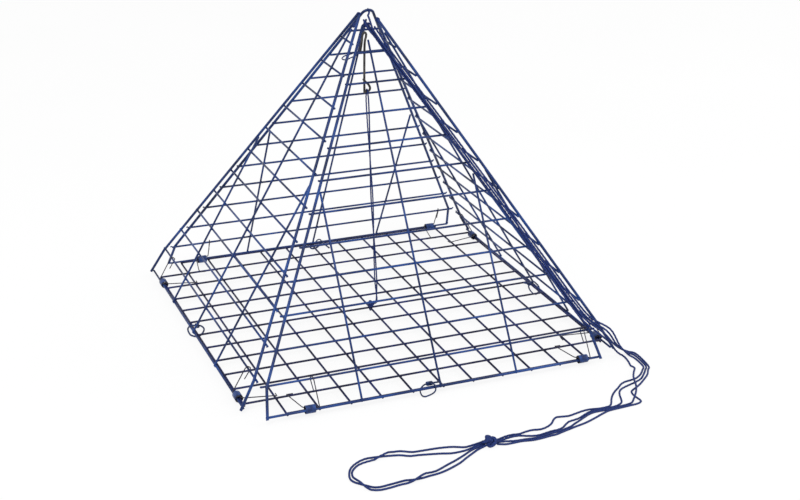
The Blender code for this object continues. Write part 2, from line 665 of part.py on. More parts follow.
# Route points on the floor: across, front to back, and height of the cord's underside.
CORD_FLOORS = {
    "left": [
        (149.5, -147.4, 11.55), (154.6, -148.2, 4.45), (158.9, -148.7, 0.1), (159.9, -154.8, 0.0),
        (158.6, -162.9, 0.0), (156.4, -170.1, 0.2), (156.5, -173.9, 0.8), (155.5, -177.7, 1.4),
        (150.6, -184.4, 2.0), (146.3, -191.2, 2.2), (143.3, -198.1, 2.2), (140.4, -205.0, 2.2),
        (136.1, -212.2, 2.2), (131.5, -218.3, 2.2), (128.0, -222.1, 1.4), (125.2, -224.5, 0.4),
        (121.3, -225.3, 0.0), (114.8, -225.9, 0.0), (106.4, -226.8, 0.0), (101.0, -227.2, 0.0),
        (96.0, -227.0, 0.0), (90.7, -227.1, 0.0), (85.7, -228.5, 0.0), (79.8, -231.4, 0.0),
        (73.7, -234.7, 0.0), (69.1, -237.0, 0.0), (64.2, -239.8, 0.0), (59.1, -241.4, 0.0),
        (54.3, -242.7, 0.0), (48.9, -243.4, 0.0), (42.8, -244.1, 0.0), (36.4, -245.3, 0.0),
        (30.6, -245.4, 0.0), (23.8, -244.5, 0.0), (16.0, -243.8, 0.0), (8.8, -241.9, 0.0),
        (3.7, -241.0, 0.0), (1.9, -241.5, 0.45),
    ],
    "back": [
        (151.5, -149.8, 11.55), (158.5, -149.9, 5.65), (166.0, -149.5, 1.45), (171.6, -153.2, 0.0),
        (169.8, -174.8, 0.0), (165.6, -181.6, 0.0), (160.8, -188.3, 0.0), (154.2, -194.3, 0.0),
        (147.1, -200.1, 0.0), (141.0, -204.1, 0.0), (136.2, -206.9, 0.0), (134.0, -209.2, 0.0),
        (133.0, -213.0, 0.0), (133.0, -218.0, 0.0), (133.5, -222.5, 0.0), (132.6, -225.3, 0.0),
        (128.5, -227.1, 0.0), (121.6, -227.6, 0.0), (113.5, -228.1, 0.0), (106.3, -228.5, 0.0),
        (101.1, -229.3, 0.0), (93.9, -232.1, 0.0), (87.1, -235.1, 0.0), (77.4, -238.8, 0.0),
        (68.5, -241.0, 0.0), (61.7, -242.8, 0.0), (54.9, -244.6, 0.0), (48.5, -246.4, 0.0),
        (43.1, -246.7, 0.0), (36.0, -247.5, 0.0), (28.7, -247.6, 0.0), (20.5, -246.1, 0.0),
        (13.2, -246.1, 0.0), (7.7, -245.8, 0.0), (2.7, -243.7, 0.0), (1.9, -243.8, 0.45),
    ],
    "front": [
        (153.0, -152.1, 11.55), (159.5, -152.5, 5.65), (165.6, -152.6, 1.45), (169.2, -156.2, 0.0),
        (167.9, -174.1, 0.0), (163.5, -180.8, 0.0), (158.4, -186.8, 0.0), (152.6, -192.4, 0.0),
        (145.6, -195.9, 0.0), (138.1, -198.4, 0.0), (130.7, -201.2, 0.0), (126.3, -204.5, 0.0),
        (122.9, -210.1, 0.0), (120.3, -216.9, 0.0), (117.6, -221.5, 0.0), (112.3, -224.2, 0.0),
        (106.6, -225.0, 0.0), (102.1, -225.3, 0.0), (97.0, -225.2, 0.0), (91.9, -225.1, 0.0),
        (87.4, -225.5, 0.0), (81.7, -228.1, 0.0), (75.8, -231.0, 0.0), (70.9, -232.1, 0.0),
        (66.2, -233.0, 0.0), (61.8, -235.9, 0.0), (57.9, -239.0, 0.0), (52.9, -240.7, 0.0),
        (47.8, -240.9, 0.0), (42.3, -241.8, 0.0), (36.9, -242.7, 0.0), (32.2, -242.3, 0.0),
        (27.4, -240.6, 0.0), (22.1, -238.2, 0.0), (16.6, -237.8, 0.0), (10.4, -238.7, 0.0),
        (4.4, -239.6, 0.0), (1.9, -239.2, 0.45),
    ],
    "right": [
        (154.5, -154.4, 11.55), (159.5, -155.3, 5.45), (163.6, -156.0, 1.45), (166.4, -159.6, 0.0),
        (165.5, -174.1, 0.0), (161.4, -180.0, 0.0), (155.6, -186.3, 0.0), (149.2, -190.4, 0.0),
        (144.0, -191.7, 0.0), (138.0, -192.6, 0.0), (133.0, -195.0, 0.0), (127.6, -199.6, 0.0),
        (122.7, -203.4, 0.0), (117.8, -208.2, 0.0), (113.7, -213.5, 0.0), (109.9, -219.6, 0.0),
        (106.7, -222.7, 0.0), (102.3, -223.4, 0.0), (97.2, -223.3, 0.0), (90.2, -222.0, 0.0),
        (84.1, -222.2, 0.0), (77.2, -223.7, 0.0), (70.5, -225.1, 0.0), (65.1, -224.3, 0.0),
        (60.6, -223.7, 0.0), (57.0, -226.1, 0.0), (52.9, -230.6, 0.0), (47.9, -233.8, 0.0),
        (41.5, -235.5, 0.0), (34.7, -234.3, 0.0), (28.6, -234.9, 0.0), (23.2, -236.0, 0.0),
        (17.9, -235.2, 0.0), (11.9, -235.7, 0.0), (5.4, -237.5, 0.0), (1.9, -237.0, 0.45),
    ],
}
# The handle's two strands, out from the knot and back to it. The outer one crosses over.
HANDLE_LOOPS = {
    "outer": [
        (-6.3, -237.4, 0.7), (-13.0, -237.9, 0.0), (-18.0, -238.7, 0.0), (-22.4, -238.7, 0.0),
        (-30.2, -235.2, 0.0), (-38.9, -233.4, 0.0), (-46.4, -232.7, 0.0), (-54.0, -232.2, 0.0),
        (-59.9, -231.4, 0.0), (-67.4, -227.3, 0.0), (-72.1, -227.3, 0.5), (-77.4, -228.9, 2.0),
        (-81.9, -230.7, 2.1), (-85.3, -231.5, 1.6), (-88.6, -232.1, 0.5), (-92.3, -232.0, 0.0),
        (-98.0, -232.9, 0.0), (-102.8, -234.8, 0.0), (-107.6, -239.0, 0.0), (-110.2, -243.2, 0.0),
        (-111.3, -248.2, 0.2), (-111.1, -253.1, 1.2), (-110.3, -258.3, 2.1), (-109.4, -262.3, 2.0),
        (-107.7, -265.4, 0.9), (-105.1, -268.1, 0.0), (-100.0, -270.2, 0.0), (-92.6, -270.1, 0.0),
        (-84.8, -269.1, 0.0), (-79.6, -269.0, 0.0), (-75.1, -269.0, 0.9), (-71.0, -268.1, 2.0),
        (-67.0, -266.0, 2.1), (-63.0, -263.7, 1.4), (-57.7, -262.1, 0.2), (-52.6, -260.8, 0.0),
        (-43.0, -256.4, 0.0), (-35.3, -253.1, 0.0), (-27.1, -248.9, 0.0), (-20.9, -245.4, 0.0),
        (-14.4, -242.7, 0.0), (-6.6, -241.1, 0.3),
    ],
    "inner": [
        (-6.6, -239.2, 0.3), (-13.6, -240.4, 0.0), (-19.4, -242.2, 0.0), (-24.6, -243.4, 0.0),
        (-33.9, -243.3, 0.0), (-42.1, -240.7, 0.0), (-56.2, -237.3, 0.0), (-63.4, -236.0, 0.0),
        (-69.6, -232.5, 0.0), (-76.5, -230.6, 0.0), (-83.6, -229.2, 0.0), (-89.4, -228.4, 0.0),
        (-93.8, -228.2, 0.0), (-98.9, -229.6, 0.0), (-104.8, -233.1, 0.0), (-109.2, -237.5, 0.0),
        (-112.2, -243.2, 0.0), (-113.9, -249.4, 0.0), (-112.9, -254.2, 0.0), (-109.2, -258.9, 0.0),
        (-106.3, -262.0, 0.0), (-103.1, -265.2, 0.0), (-98.6, -266.7, 0.0), (-91.0, -266.2, 0.0),
        (-83.3, -265.4, 0.0), (-78.7, -265.2, 0.0), (-74.6, -266.1, 0.0), (-70.3, -266.5, 0.0),
        (-65.7, -266.4, 0.0), (-60.8, -265.7, 0.0), (-56.1, -265.3, 0.0), (-51.1, -264.4, 0.0),
        (-43.9, -262.0, 0.0), (-34.2, -257.6, 0.0), (-27.6, -253.3, 0.0), (-20.0, -248.6, 0.0),
        (-13.8, -245.1, 0.0), (-6.3, -243.0, 0.7),
    ],
}


def bundle_stack(height):
    """How far the flat row of cords near the hinge has closed up into two layers."""
    share = (height - BUNDLE_FLAT_TO) / (BUNDLE_STACKED_FROM - BUNDLE_FLAT_TO)
    return min(max(share, 0.0), 1.0)


def bundle_offset(order, height):
    """A cord's place across the bundle: side by side, or half a spacing apart in layers."""
    flat = BUNDLE_LEFT + CORD_SPACING * order
    stacked = BUNDLE_STACK_LEFT + CORD_SPACING / 2 * order
    return flat + (stacked - flat) * bundle_stack(height)


def bundle_rise(order, height):
    layer = order % 2 * bundle_stack(height)
    return FRAME_RISE + FRAME_CORNER + GAP + CORD / 2 + layer * CORD_SPACING * math.sin(math.pi / 3)


def laid(points):
    """Centre points of a cord whose underside follows a route on the floor."""
    return [Vector((x, y, z + CORD_REST)) for x, y, z in points]


def settle(route):
    """Keep a smoothed route from dipping under the floor between its points."""
    for point in route:
        point.z = max(point.z, CORD_REST)


def edge_route(name, order):
    """A cord from its tip down the front panel's right leg, in that panel's frame."""
    points = list(CORD_TOPS[name])
    for height in BUNDLE_HEIGHTS:
        points.append((leg_place(height) + bundle_offset(order, height), height, bundle_rise(order, height)))
    fan = LEG_BEND + BUNDLE_FAN
    rise = bundle_rise(order, fan)
    spread = BUNDLE_SPREAD * order
    across = leg_place(fan) + bundle_offset(order, fan) + 0.7 + spread * 0.1
    points.append((across, fan + spread * 0.1, rise + 0.2))
    aside = PANEL_HALF_WIDTH + BUNDLE_SPREAD + spread
    points.append((aside, BUNDLE_HANDOVER + spread * 0.3, rise + spread * 0.13))
    return smooth_route(points, TAUT_STEP)


def build_closing_cords(front_hinge):
    """Each cord is an edge stretch on the front panel and a stretch on the floor."""
    bpy.context.view_layer.update()
    to_world = front_hinge.matrix_world
    lengths = {}
    for order, name in enumerate(CORD_ORDER):
        edge = edge_route(name, order)
        add_cord("cord_edge_" + name, edge, CORD, cord_braid(), front_hinge)
        end = to_world @ (edge[-1] * METRES) / METRES
        before = to_world @ (edge[-2] * METRES) / METRES
        heading = (end - before).normalized()
        start = end + heading * 2 * GAP
        floor = smooth_route([start, start + heading * CORD] + laid(CORD_FLOORS[name]), CORD_STEP)
        settle(floor)
        add_cord("cord_floor_" + name, floor, CORD, cord_braid())
        lengths[name] = route_length(edge) + route_length(floor)
    return lengths


def build_tip_knot(side, hinge):
    """A ring of cord round the wire at a panel's tip."""
    bm = bmesh.new()
    ring = FRAME_CORNER + GAP + KNOT_CORD / 2
    add_ring(bm, (0, TIP_TOP[side], FRAME_RISE), (ring, ring), KNOT_CORD / 2, (0, 1, 0), (0, 0, 1), 8, 5)
    add_mesh("tip_knot_" + side, bm, cord_braid(), hinge)


def build_handle_knot():
    """An overhand knot, as one closed tube; prints its least gap to itself."""
    count = 40
    x, y = HANDLE_KNOT_PLACE
    rise = HANDLE_KNOT_TUBE + KNOT_CORD / 2 + GAP / 3
    line = []
    for step in range(count):
        turn = 2 * math.pi * step / count
        reach = HANDLE_KNOT_RING + HANDLE_KNOT_TUBE * math.cos(3 * turn)
        line.append(Vector((x + reach * math.cos(2 * turn),
                            y + reach * math.sin(2 * turn),
                            rise + HANDLE_KNOT_TUBE * math.sin(3 * turn))))
    curve = bpy.data.curves.new("handle_knot", "CURVE")
    curve.dimensions = "3D"
    curve.bevel_depth = KNOT_CORD / 2 * METRES
    curve.bevel_resolution = 1
    spline = curve.splines.new("POLY")
    spline.points.add(count - 1)
    for point, place in zip(spline.points, line):
        point.co = (*(place * METRES), 1.0)
    spline.use_cyclic_u = True
    curve.materials.append(cord_braid())
    made = bpy.data.objects.new("handle_knot", curve)
    bpy.context.scene.collection.objects.link(made)
    apart = [
        (a - b).length for i, a in enumerate(line) for j, b in enumerate(line)
        if min((i - j) % count, (j - i) % count) > 5
    ]
    print("handle_knot: least gap to itself", round(min(apart) - KNOT_CORD, 2), "mm")


def build_handle_loops():
    """Two strands that wander side by side, out from the knot and back to it."""
    lengths = {}
    for name, points in HANDLE_LOOPS.items():
        strand = smooth_route(laid(points), CORD_STEP)
        settle(strand)
        add_cord("handle_loop_" + name, strand, CORD, cord_braid())
        lengths[name] = route_length(strand)
    return lengths


def build_side(index, side):
    """The edge's frame and the hinge's frame, and all that hangs on them."""
    quarter = math.radians(90 * index)
    turn = Matrix.Rotation(quarter, 4, "Z")
    place = turn @ Vector((0, -BASE_HALF, EDGE_HEIGHT[side]))
    edge = add_empty("edge_" + side, place, (0, 0, quarter))
    hinge = add_empty("hinge_" + side, (PANEL_SHIFT[side], -HINGE_OUT, HINGE_RISE),
                      (math.radians(CLOSED_ANGLE[side]), 0, 0), edge)
    build_panel(side, hinge)
    build_tie(side, edge)
    build_tip_knot(side, hinge)
    for spring_side, name, wire, way, apart, hand in SPRINGS:
        if spring_side == side:
            along = grid_line(wire) + way * (GRID_CORNER + apart + SLEEVE_LENGTH / 2)
            build_sleeve(name, along, edge)
            gap = build_spring(name, along, hand, edge)
            build_spring_arm(name, along, hand, side, hinge)
            print("spring_" + name + ": least gap between turns", round(gap, 2), "mm")
    return hinge


def main():
    remove_everything()
    build_base()
    hinges = {side: build_side(index, side) for index, side in enumerate(SIDES)}
    build_hook()
    build_centre_knot()
    print("centre_cord:", round(build_centre_cord()), "mm")
    for name, length in build_closing_cords(hinges["front"]).items():
        print("cord from the", name, "tip to the knot:", round(length), "mm")
    build_handle_knot()
    for name, length in build_handle_loops().items():
        print("handle_loop_" + name, round(length), "mm")
    for side, hinge in hinges.items():
        print("hinge", side, [round(value, 6) for value in hinge.matrix_world.translation])


main()
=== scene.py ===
"""Star crab trap, as it looks: coated wire, plastic sleeves, springs, ties, hook and cords."""

import json
import math

import bmesh
import bpy
from mathutils import Matrix, Vector


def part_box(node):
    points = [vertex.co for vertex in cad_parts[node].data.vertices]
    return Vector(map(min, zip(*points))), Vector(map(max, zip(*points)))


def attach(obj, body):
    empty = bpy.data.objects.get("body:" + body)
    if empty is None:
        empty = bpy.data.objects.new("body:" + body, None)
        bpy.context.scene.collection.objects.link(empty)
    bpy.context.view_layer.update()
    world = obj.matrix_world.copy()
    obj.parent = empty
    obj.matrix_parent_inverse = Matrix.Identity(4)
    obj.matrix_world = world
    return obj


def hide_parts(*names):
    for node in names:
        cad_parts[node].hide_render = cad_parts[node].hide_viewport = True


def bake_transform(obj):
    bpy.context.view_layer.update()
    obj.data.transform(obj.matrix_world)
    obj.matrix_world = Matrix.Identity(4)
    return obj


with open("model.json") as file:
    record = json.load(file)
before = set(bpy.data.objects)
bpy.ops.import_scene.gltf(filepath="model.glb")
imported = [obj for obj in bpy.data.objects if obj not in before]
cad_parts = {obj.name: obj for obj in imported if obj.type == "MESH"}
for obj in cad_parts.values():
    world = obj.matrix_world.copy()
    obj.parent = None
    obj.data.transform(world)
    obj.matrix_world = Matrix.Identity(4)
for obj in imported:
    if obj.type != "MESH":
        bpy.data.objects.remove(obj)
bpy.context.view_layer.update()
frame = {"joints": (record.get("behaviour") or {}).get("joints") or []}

# Camera
# It stands in front of the trap and a little to its left, and looks down on it
# at about 22 degrees, as the photograph was taken.
EYE = Vector((-0.42444, -1.06965, 0.53641))
EYE_TURN = math.radians(22.451)
EYE_DIP = math.radians(22.425)
EYE_ROLL = math.radians(0.633)
FOCAL_PIXELS = 1469.53
MIDDLE_PIXEL = (390.7, 246.61)
PICTURE_PIXELS = (800, 500)
FILM_WIDTH = 36.0


def aim(turn, dip, roll):
    """The camera's rotation from its turn, dip and roll."""
    ahead = Vector((math.sin(turn) * math.cos(dip), math.cos(turn) * math.cos(dip), -math.sin(dip)))
    level = ahead.cross(Vector((0, 0, 1))).normalized()
    upright = level.cross(ahead)
    across = level * math.cos(roll) + upright * math.sin(roll)
    above = upright * math.cos(roll) - level * math.sin(roll)
    return Matrix((across, above, -ahead)).transposed()


lens = bpy.data.cameras.new("camera")
lens.sensor_width = FILM_WIDTH
lens.lens = FOCAL_PIXELS / PICTURE_PIXELS[0] * FILM_WIDTH
lens.shift_x = (PICTURE_PIXELS[0] / 2 - MIDDLE_PIXEL[0]) / PICTURE_PIXELS[0]
lens.shift_y = (MIDDLE_PIXEL[1] - PICTURE_PIXELS[1] / 2) / PICTURE_PIXELS[0]
camera = bpy.data.objects.new("camera", lens)
camera.matrix_world = Matrix.Translation(EYE) @ aim(EYE_TURN, EYE_DIP, EYE_ROLL).to_4x4()
bpy.context.scene.collection.objects.link(camera)
bpy.context.scene.camera = camera

# Closing cords
# Four braided nylon cords, one tied to each panel's tip. They run together down
# the front panel's right leg and over the floor to one overhand knot.
MM = 0.001
SIDES = ("front", "right", "back", "left")
PANEL_LEAN = {"front": 56.3, "right": 58.8, "back": 61.0, "left": 60.1}
PANEL_HALF_WIDTH = 140.1
PANEL_SLANT = 298.3
LEG_BEND = 23.0
FRAME_WIRE = 2.3
GRID_WIRE = 1.7
WELD_SINK = 0.3
FRAME_RISE = (GRID_WIRE + FRAME_WIRE) / 2 - WELD_SINK
CORD = 1.5
BUNDLE_RISE = FRAME_RISE + FRAME_WIRE / 2 / math.cos(math.pi / 6) + 0.3 + CORD / 2
BUNDLE_LEFT = -6.1
BUNDLE_STACK_LEFT = -2.9
BUNDLE_FLAT_TO = 60.0
BUNDLE_STACKED_FROM = 110.0
CORD_SPACING = 2.35
BUNDLE_FAN = 7.0
BUNDLE_HANDOVER = 17.0
BUNDLE_SPREAD = 3.1
BUNDLE_HEIGHTS = (272.0, 240.0, 200.0, 160.0, 120.0, 80.0, 45.0)
CORD_REST = CORD / 2 + 0.05
# The cords in their order across the bundle, from left to right.
CORD_ORDER = ("left", "back", "front", "right")
# Near the tips, in the front panel's own frame: along, up, out.
CORD_TOPS = {
    "left": [(-3.0, 297.0, 8.0), (0.2, 289.5, 6.0), (5.0, 283.0, 4.3)],
    "back": [(3.3, 301.6, 3.6), (2.5, 297.0, 7.2), (3.6, 289.0, 6.9), (6.2, 283.0, 6.35)],
    "front": [(3.0, 291.0, 4.2), (7.4, 283.0, 4.1)],
    "right": [(4.4, 290.0, 9.4), (8.6, 283.5, 7.0)],
}
# On the floor: across, front to back, and the height of the cord's underside.
CORD_FLOORS = {
    "left": [
        (149.5, -147.4, 11.55), (154.6, -148.2, 4.45), (158.9, -148.7, 0.1), (159.9, -154.8, 0.0),
        (158.6, -162.9, 0.0), (156.4, -170.1, 0.2), (156.5, -173.9, 0.8), (155.5, -177.7, 1.4),
        (150.6, -184.4, 2.0), (146.3, -191.2, 2.2), (143.3, -198.1, 2.2), (140.4, -205.0, 2.2),
        (136.1, -212.2, 2.2), (131.5, -218.3, 2.2), (128.0, -222.1, 1.4), (125.2, -224.5, 0.4),
        (121.3, -225.3, 0.0), (114.8, -225.9, 0.0), (106.4, -226.8, 0.0), (101.0, -227.2, 0.0),
        (96.0, -227.0, 0.0), (90.7, -227.1, 0.0), (85.7, -228.5, 0.0), (79.8, -231.4, 0.0),
        (73.7, -234.7, 0.0), (69.1, -237.0, 0.0), (64.2, -239.8, 0.0), (59.1, -241.4, 0.0),
        (54.3, -242.7, 0.0), (48.9, -243.4, 0.0), (42.8, -244.1, 0.0), (36.4, -245.3, 0.0),
        (30.6, -245.4, 0.0), (23.8, -244.5, 0.0), (16.0, -243.8, 0.0), (8.8, -241.9, 0.0),
        (3.7, -241.0, 0.0), (1.9, -241.5, 0.45),
    ],
    "back": [
        (151.5, -149.8, 11.55), (158.5, -149.9, 5.65), (166.0, -149.5, 1.45), (171.6, -153.2, 0.0),
        (169.8, -174.8, 0.0), (165.6, -181.6, 0.0), (160.8, -188.3, 0.0), (154.2, -194.3, 0.0),
        (147.1, -200.1, 0.0), (141.0, -204.1, 0.0), (136.2, -206.9, 0.0), (134.0, -209.2, 0.0),
        (133.0, -213.0, 0.0), (133.0, -218.0, 0.0), (133.5, -222.5, 0.0), (132.6, -225.3, 0.0),
        (128.5, -227.1, 0.0), (121.6, -227.6, 0.0), (113.5, -228.1, 0.0), (106.3, -228.5, 0.0),
        (101.1, -229.3, 0.0), (93.9, -232.1, 0.0), (87.1, -235.1, 0.0), (77.4, -238.8, 0.0),
        (68.5, -241.0, 0.0), (61.7, -242.8, 0.0), (54.9, -244.6, 0.0), (48.5, -246.4, 0.0),
        (43.1, -246.7, 0.0), (36.0, -247.5, 0.0), (28.7, -247.6, 0.0), (20.5, -246.1, 0.0),
        (13.2, -246.1, 0.0), (7.7, -245.8, 0.0), (2.7, -243.7, 0.0), (1.9, -243.8, 0.45),
    ],
    "front": [
        (153.0, -152.1, 11.55), (159.5, -152.5, 5.65), (165.6, -152.6, 1.45), (169.2, -156.2, 0.0),
        (167.9, -174.1, 0.0), (163.5, -180.8, 0.0), (158.4, -186.8, 0.0), (152.6, -192.4, 0.0),
        (145.6, -195.9, 0.0), (138.1, -198.4, 0.0), (130.7, -201.2, 0.0), (126.3, -204.5, 0.0),
        (122.9, -210.1, 0.0), (120.3, -216.9, 0.0), (117.6, -221.5, 0.0), (112.3, -224.2, 0.0),
        (106.6, -225.0, 0.0), (102.1, -225.3, 0.0), (97.0, -225.2, 0.0), (91.9, -225.1, 0.0),
        (87.4, -225.5, 0.0), (81.7, -228.1, 0.0), (75.8, -231.0, 0.0), (70.9, -232.1, 0.0),
        (66.2, -233.0, 0.0), (61.8, -235.9, 0.0), (57.9, -239.0, 0.0), (52.9, -240.7, 0.0),
        (47.8, -240.9, 0.0), (42.3, -241.8, 0.0), (36.9, -242.7, 0.0), (32.2, -242.3, 0.0),
        (27.4, -240.6, 0.0), (22.1, -238.2, 0.0), (16.6, -237.8, 0.0), (10.4, -238.7, 0.0),
        (4.4, -239.6, 0.0), (1.9, -239.2, 0.45),
    ],
    "right": [
        (154.5, -154.4, 11.55), (159.5, -155.3, 5.45), (163.6, -156.0, 1.45), (166.4, -159.6, 0.0),
        (165.5, -174.1, 0.0), (161.4, -180.0, 0.0), (155.6, -186.3, 0.0), (149.2, -190.4, 0.0),
        (144.0, -191.7, 0.0), (138.0, -192.6, 0.0), (133.0, -195.0, 0.0), (127.6, -199.6, 0.0),
        (122.7, -203.4, 0.0), (117.8, -208.2, 0.0), (113.7, -213.5, 0.0), (109.9, -219.6, 0.0),
        (106.7, -222.7, 0.0), (102.3, -223.4, 0.0), (97.2, -223.3, 0.0), (90.2, -222.0, 0.0),
        (84.1, -222.2, 0.0), (77.2, -223.7, 0.0), (70.5, -225.1, 0.0), (65.1, -224.3, 0.0),
        (60.6, -223.7, 0.0), (57.0, -226.1, 0.0), (52.9, -230.6, 0.0), (47.9, -233.8, 0.0),
        (41.5, -235.5, 0.0), (34.7, -234.3, 0.0), (28.6, -234.9, 0.0), (23.2, -236.0, 0.0),
        (17.9, -235.2, 0.0), (11.9, -235.7, 0.0), (5.4, -237.5, 0.0), (1.9, -237.0, 0.45),
    ],
}
CORD_BLUE = (0.0165, 0.041, 0.186)
CORD_NAVY = (0.007, 0.012, 0.065)
BRAID_STRANDS = 3
BRAID_PITCH = 3.6
BRAID_RELIEF = 0.16
BRAID_STEP = 0.4
BRAID_SIDES = 12
BRAID_SHARP = 70.0
CURVE_PARTS = 24


def panel_frame(side):
    """A panel's own frame at rest: X along its hinge, Y up the panel, Z out of the trap."""
    joint = next(j for j in frame["joints"] if j["name"] == side + "_hinge")
    turn = Matrix.Rotation(math.radians(90 * SIDES.index(side)), 4, "Z")
    lean = Matrix.Rotation(math.radians(PANEL_LEAN[side]), 4, "X")
    return Matrix.Translation(joint["pos_m"]) @ turn @ lean @ Matrix.Scale(MM, 4)


def leg_place(height):
    """How far a leg's centre line stands from the panel's middle at a height."""
    if height <= LEG_BEND:
        return PANEL_HALF_WIDTH
    return PANEL_HALF_WIDTH * (PANEL_SLANT - height) / (PANEL_SLANT - LEG_BEND)


def smooth_route(points, step, closed=False):
    """Points at an even step along a smooth curve through a route's own points."""
    points = [Vector(point) for point in points]
    if closed:
        ends = [points[-1]] + points + points[:2]
    else:
        ends = [2 * points[0] - points[1]] + points + [2 * points[-1] - points[-2]]
    fine = []
    for a, b, c, d in zip(ends, ends[1:], ends[2:], ends[3:]):
        for part in range(CURVE_PARTS):
            t = part / CURVE_PARTS
            fine.append(0.5 * (2 * b + (c - a) * t + (2 * a - 5 * b + 4 * c - d) * t ** 2
                               + (3 * b - a - 3 * c + d) * t ** 3))
    fine.append(ends[-2])
    lengths = [0.0]
    for a, b in zip(fine, fine[1:]):
        lengths.append(lengths[-1] + (b - a).length)
    count = max(2, round(lengths[-1] / step))
    route = []
    place = 0
    for mark in range(count + 1):
        want = lengths[-1] * mark / count
        while place < len(fine) - 2 and lengths[place + 1] < want:
            place += 1
        share = (want - lengths[place]) / max(lengths[place + 1] - lengths[place], 1e-12)
        route.append(fine[place].lerp(fine[place + 1], share))
    return route


def cord_relief(turn, along):
    """How far a braided surface stands at a place round and along the cord, 0 to 1."""
    phase = 2 * math.pi * along / BRAID_PITCH
    first = math.cos(BRAID_STRANDS * turn + phase)
    second = math.cos(BRAID_STRANDS * turn - phase)
    return 0.5 + 0.5 * max(first, second)


def sweep(bm, route, reach, sides, closed=False):
    """A tube along a route; reach gives its radius at an angle and a length along it."""
    count = len(route)
    tangents = []
    for index in range(count):
        if closed:
            before, after = route[index - 1], route[(index + 1) % count]
        else:
            before, after = route[max(index - 1, 0)], route[min(index + 1, count - 1)]
        tangents.append((after - before).normalized())
    spoke = tangents[0].orthogonal().normalized()
    spokes = []
    for index in range(count):
        if index:
            spoke = tangents[index - 1].rotation_difference(tangents[index]) @ spoke
        spoke = (spoke - spoke.dot(tangents[index]) * tangents[index]).normalized()
        spokes.append(spoke)
    slip = 0.0
    if closed:
        carried = tangents[-1].rotation_difference(tangents[0]) @ spokes[-1]
        slip = math.atan2(carried.cross(spokes[0]).dot(tangents[0]), carried.dot(spokes[0]))
    rings = []
    run = 0.0
    for index, point in enumerate(route):
        run += (point - route[max(index - 1, 0)]).length
        first = Matrix.Rotation(slip * index / count, 3, tangents[index]) @ spokes[index]
        second = tangents[index].cross(first)
        ring = []
        for side in range(sides):
            turn = 2 * math.pi * side / sides
            radius = reach(turn, run)
            ring.append(bm.verts.new(point + (first * math.cos(turn) + second * math.sin(turn)) * radius))
        rings.append(ring)
    pairs = list(zip(rings, rings[1:]))
    if closed:
        pairs.append((rings[-1], rings[0]))
    for ring, following in pairs:
        for side in range(sides):
            beside = (side + 1) % sides
            bm.faces.new((ring[side], ring[beside], following[beside], following[side]))
    if not closed:
        bm.faces.new(rings[0][::-1])
        bm.faces.new(rings[-1])


def finished(name, bm, material, sharp=40.0):
    """A mesh object from a bmesh in metres, shaded smooth up to its sharp edges."""
    bmesh.ops.recalc_face_normals(bm, faces=bm.faces)
    mesh = bpy.data.meshes.new(name)
    bm.to_mesh(mesh)
    bm.free()
    mesh.materials.append(material)
    mesh.shade_smooth()
    mesh.set_sharp_from_angle(angle=math.radians(sharp))
    made = bpy.data.objects.new(name, mesh)
    bpy.context.scene.collection.objects.link(made)
    return made


def tube(name, route, reach, sides, material, sharp=40.0):
    """An object that is one tube along a route in metres."""
    bm = bmesh.new()
    sweep(bm, route, reach, sides)
    return finished(name, bm, material, sharp)


def start_material(name, roughness, metallic=0.0, shine=0.5):
    """A Principled material and its node tree, ready for a colour and a bump."""
    made = bpy.data.materials.new(name)
    made.use_nodes = True
    tree = made.node_tree
    shader = tree.nodes["Principled BSDF"]
    shader.inputs["Roughness"].default_value = roughness
    shader.inputs["Metallic"].default_value = metallic
    shader.inputs["Specular IOR Level"].default_value = shine
    place = tree.nodes.new("ShaderNodeTexCoord")
    return made, tree, shader, place.outputs["Object"]


def grain(tree, place, scale, detail=3.0):
    """Soft noise at a number of features per metre."""
    node = tree.nodes.new("ShaderNodeTexNoise")
    node.inputs["Scale"].default_value = scale
    node.inputs["Detail"].default_value = detail
    tree.links.new(place, node.inputs["Vector"])
    return node.outputs["Fac"]


def tint(tree, shader, value, stops):
    """Colour a surface along a value: stops are (place, colour) pairs."""
    node = tree.nodes.new("ShaderNodeValToRGB")
    while len(node.color_ramp.elements) < len(stops):
        node.color_ramp.elements.new(0.5)
    for element, (place, colour) in zip(node.color_ramp.elements, stops):
        element.position = place
        element.color = (*colour, 1.0)
    tree.links.new(value, node.inputs["Fac"])
    tree.links.new(node.outputs["Color"], shader.inputs["Base Color"])


def remap(tree, value, low, high, to_low, to_high):
    """A value read from one range into another."""
    node = tree.nodes.new("ShaderNodeMapRange")
    node.inputs["From Min"].default_value = low
    node.inputs["From Max"].default_value = high
    node.inputs["To Min"].default_value = to_low
    node.inputs["To Max"].default_value = to_high
    tree.links.new(value, node.inputs["Value"])
    return node.outputs["Result"]


def roughen(tree, shader, place, scale, detail, strength, distance):
    """A bump from soft noise."""
    node = tree.nodes.new("ShaderNodeBump")
    node.inputs["Strength"].default_value = strength
    node.inputs["Distance"].default_value = distance
    tree.links.new(grain(tree, place, scale, detail), node.inputs["Height"])
    tree.links.new(node.outputs["Normal"], shader.inputs["Normal"])


def dull(tree, shader, place, scale, low, high):
    """A roughness that wanders between two values."""
    tree.links.new(remap(tree, grain(tree, place, scale), 0.3, 0.7, low, high), shader.inputs["Roughness"])


def braided_nylon():
    """Blue nylon braid: darker and lighter yarns, fine filaments and a dull sheen."""
    made, tree, shader, place = start_material("braided_nylon", 0.62, shine=0.19)
    tint(tree, shader, grain(tree, place, 1500.0, 2.0), [(0.36, CORD_NAVY), (0.62, CORD_BLUE)])
    roughen(tree, shader, place, 5200.0, 4.0, 0.5, 0.00012)
    return made


CORD_FINISH = braided_nylon()


def strand_surface(thickness):
    """A function that gives the radius of a braided cord of a thickness."""
    def reach(turn, along):
        return (thickness / 2 + BRAID_RELIEF * (cord_relief(turn, along / MM) - 0.5)) * MM
    return reach


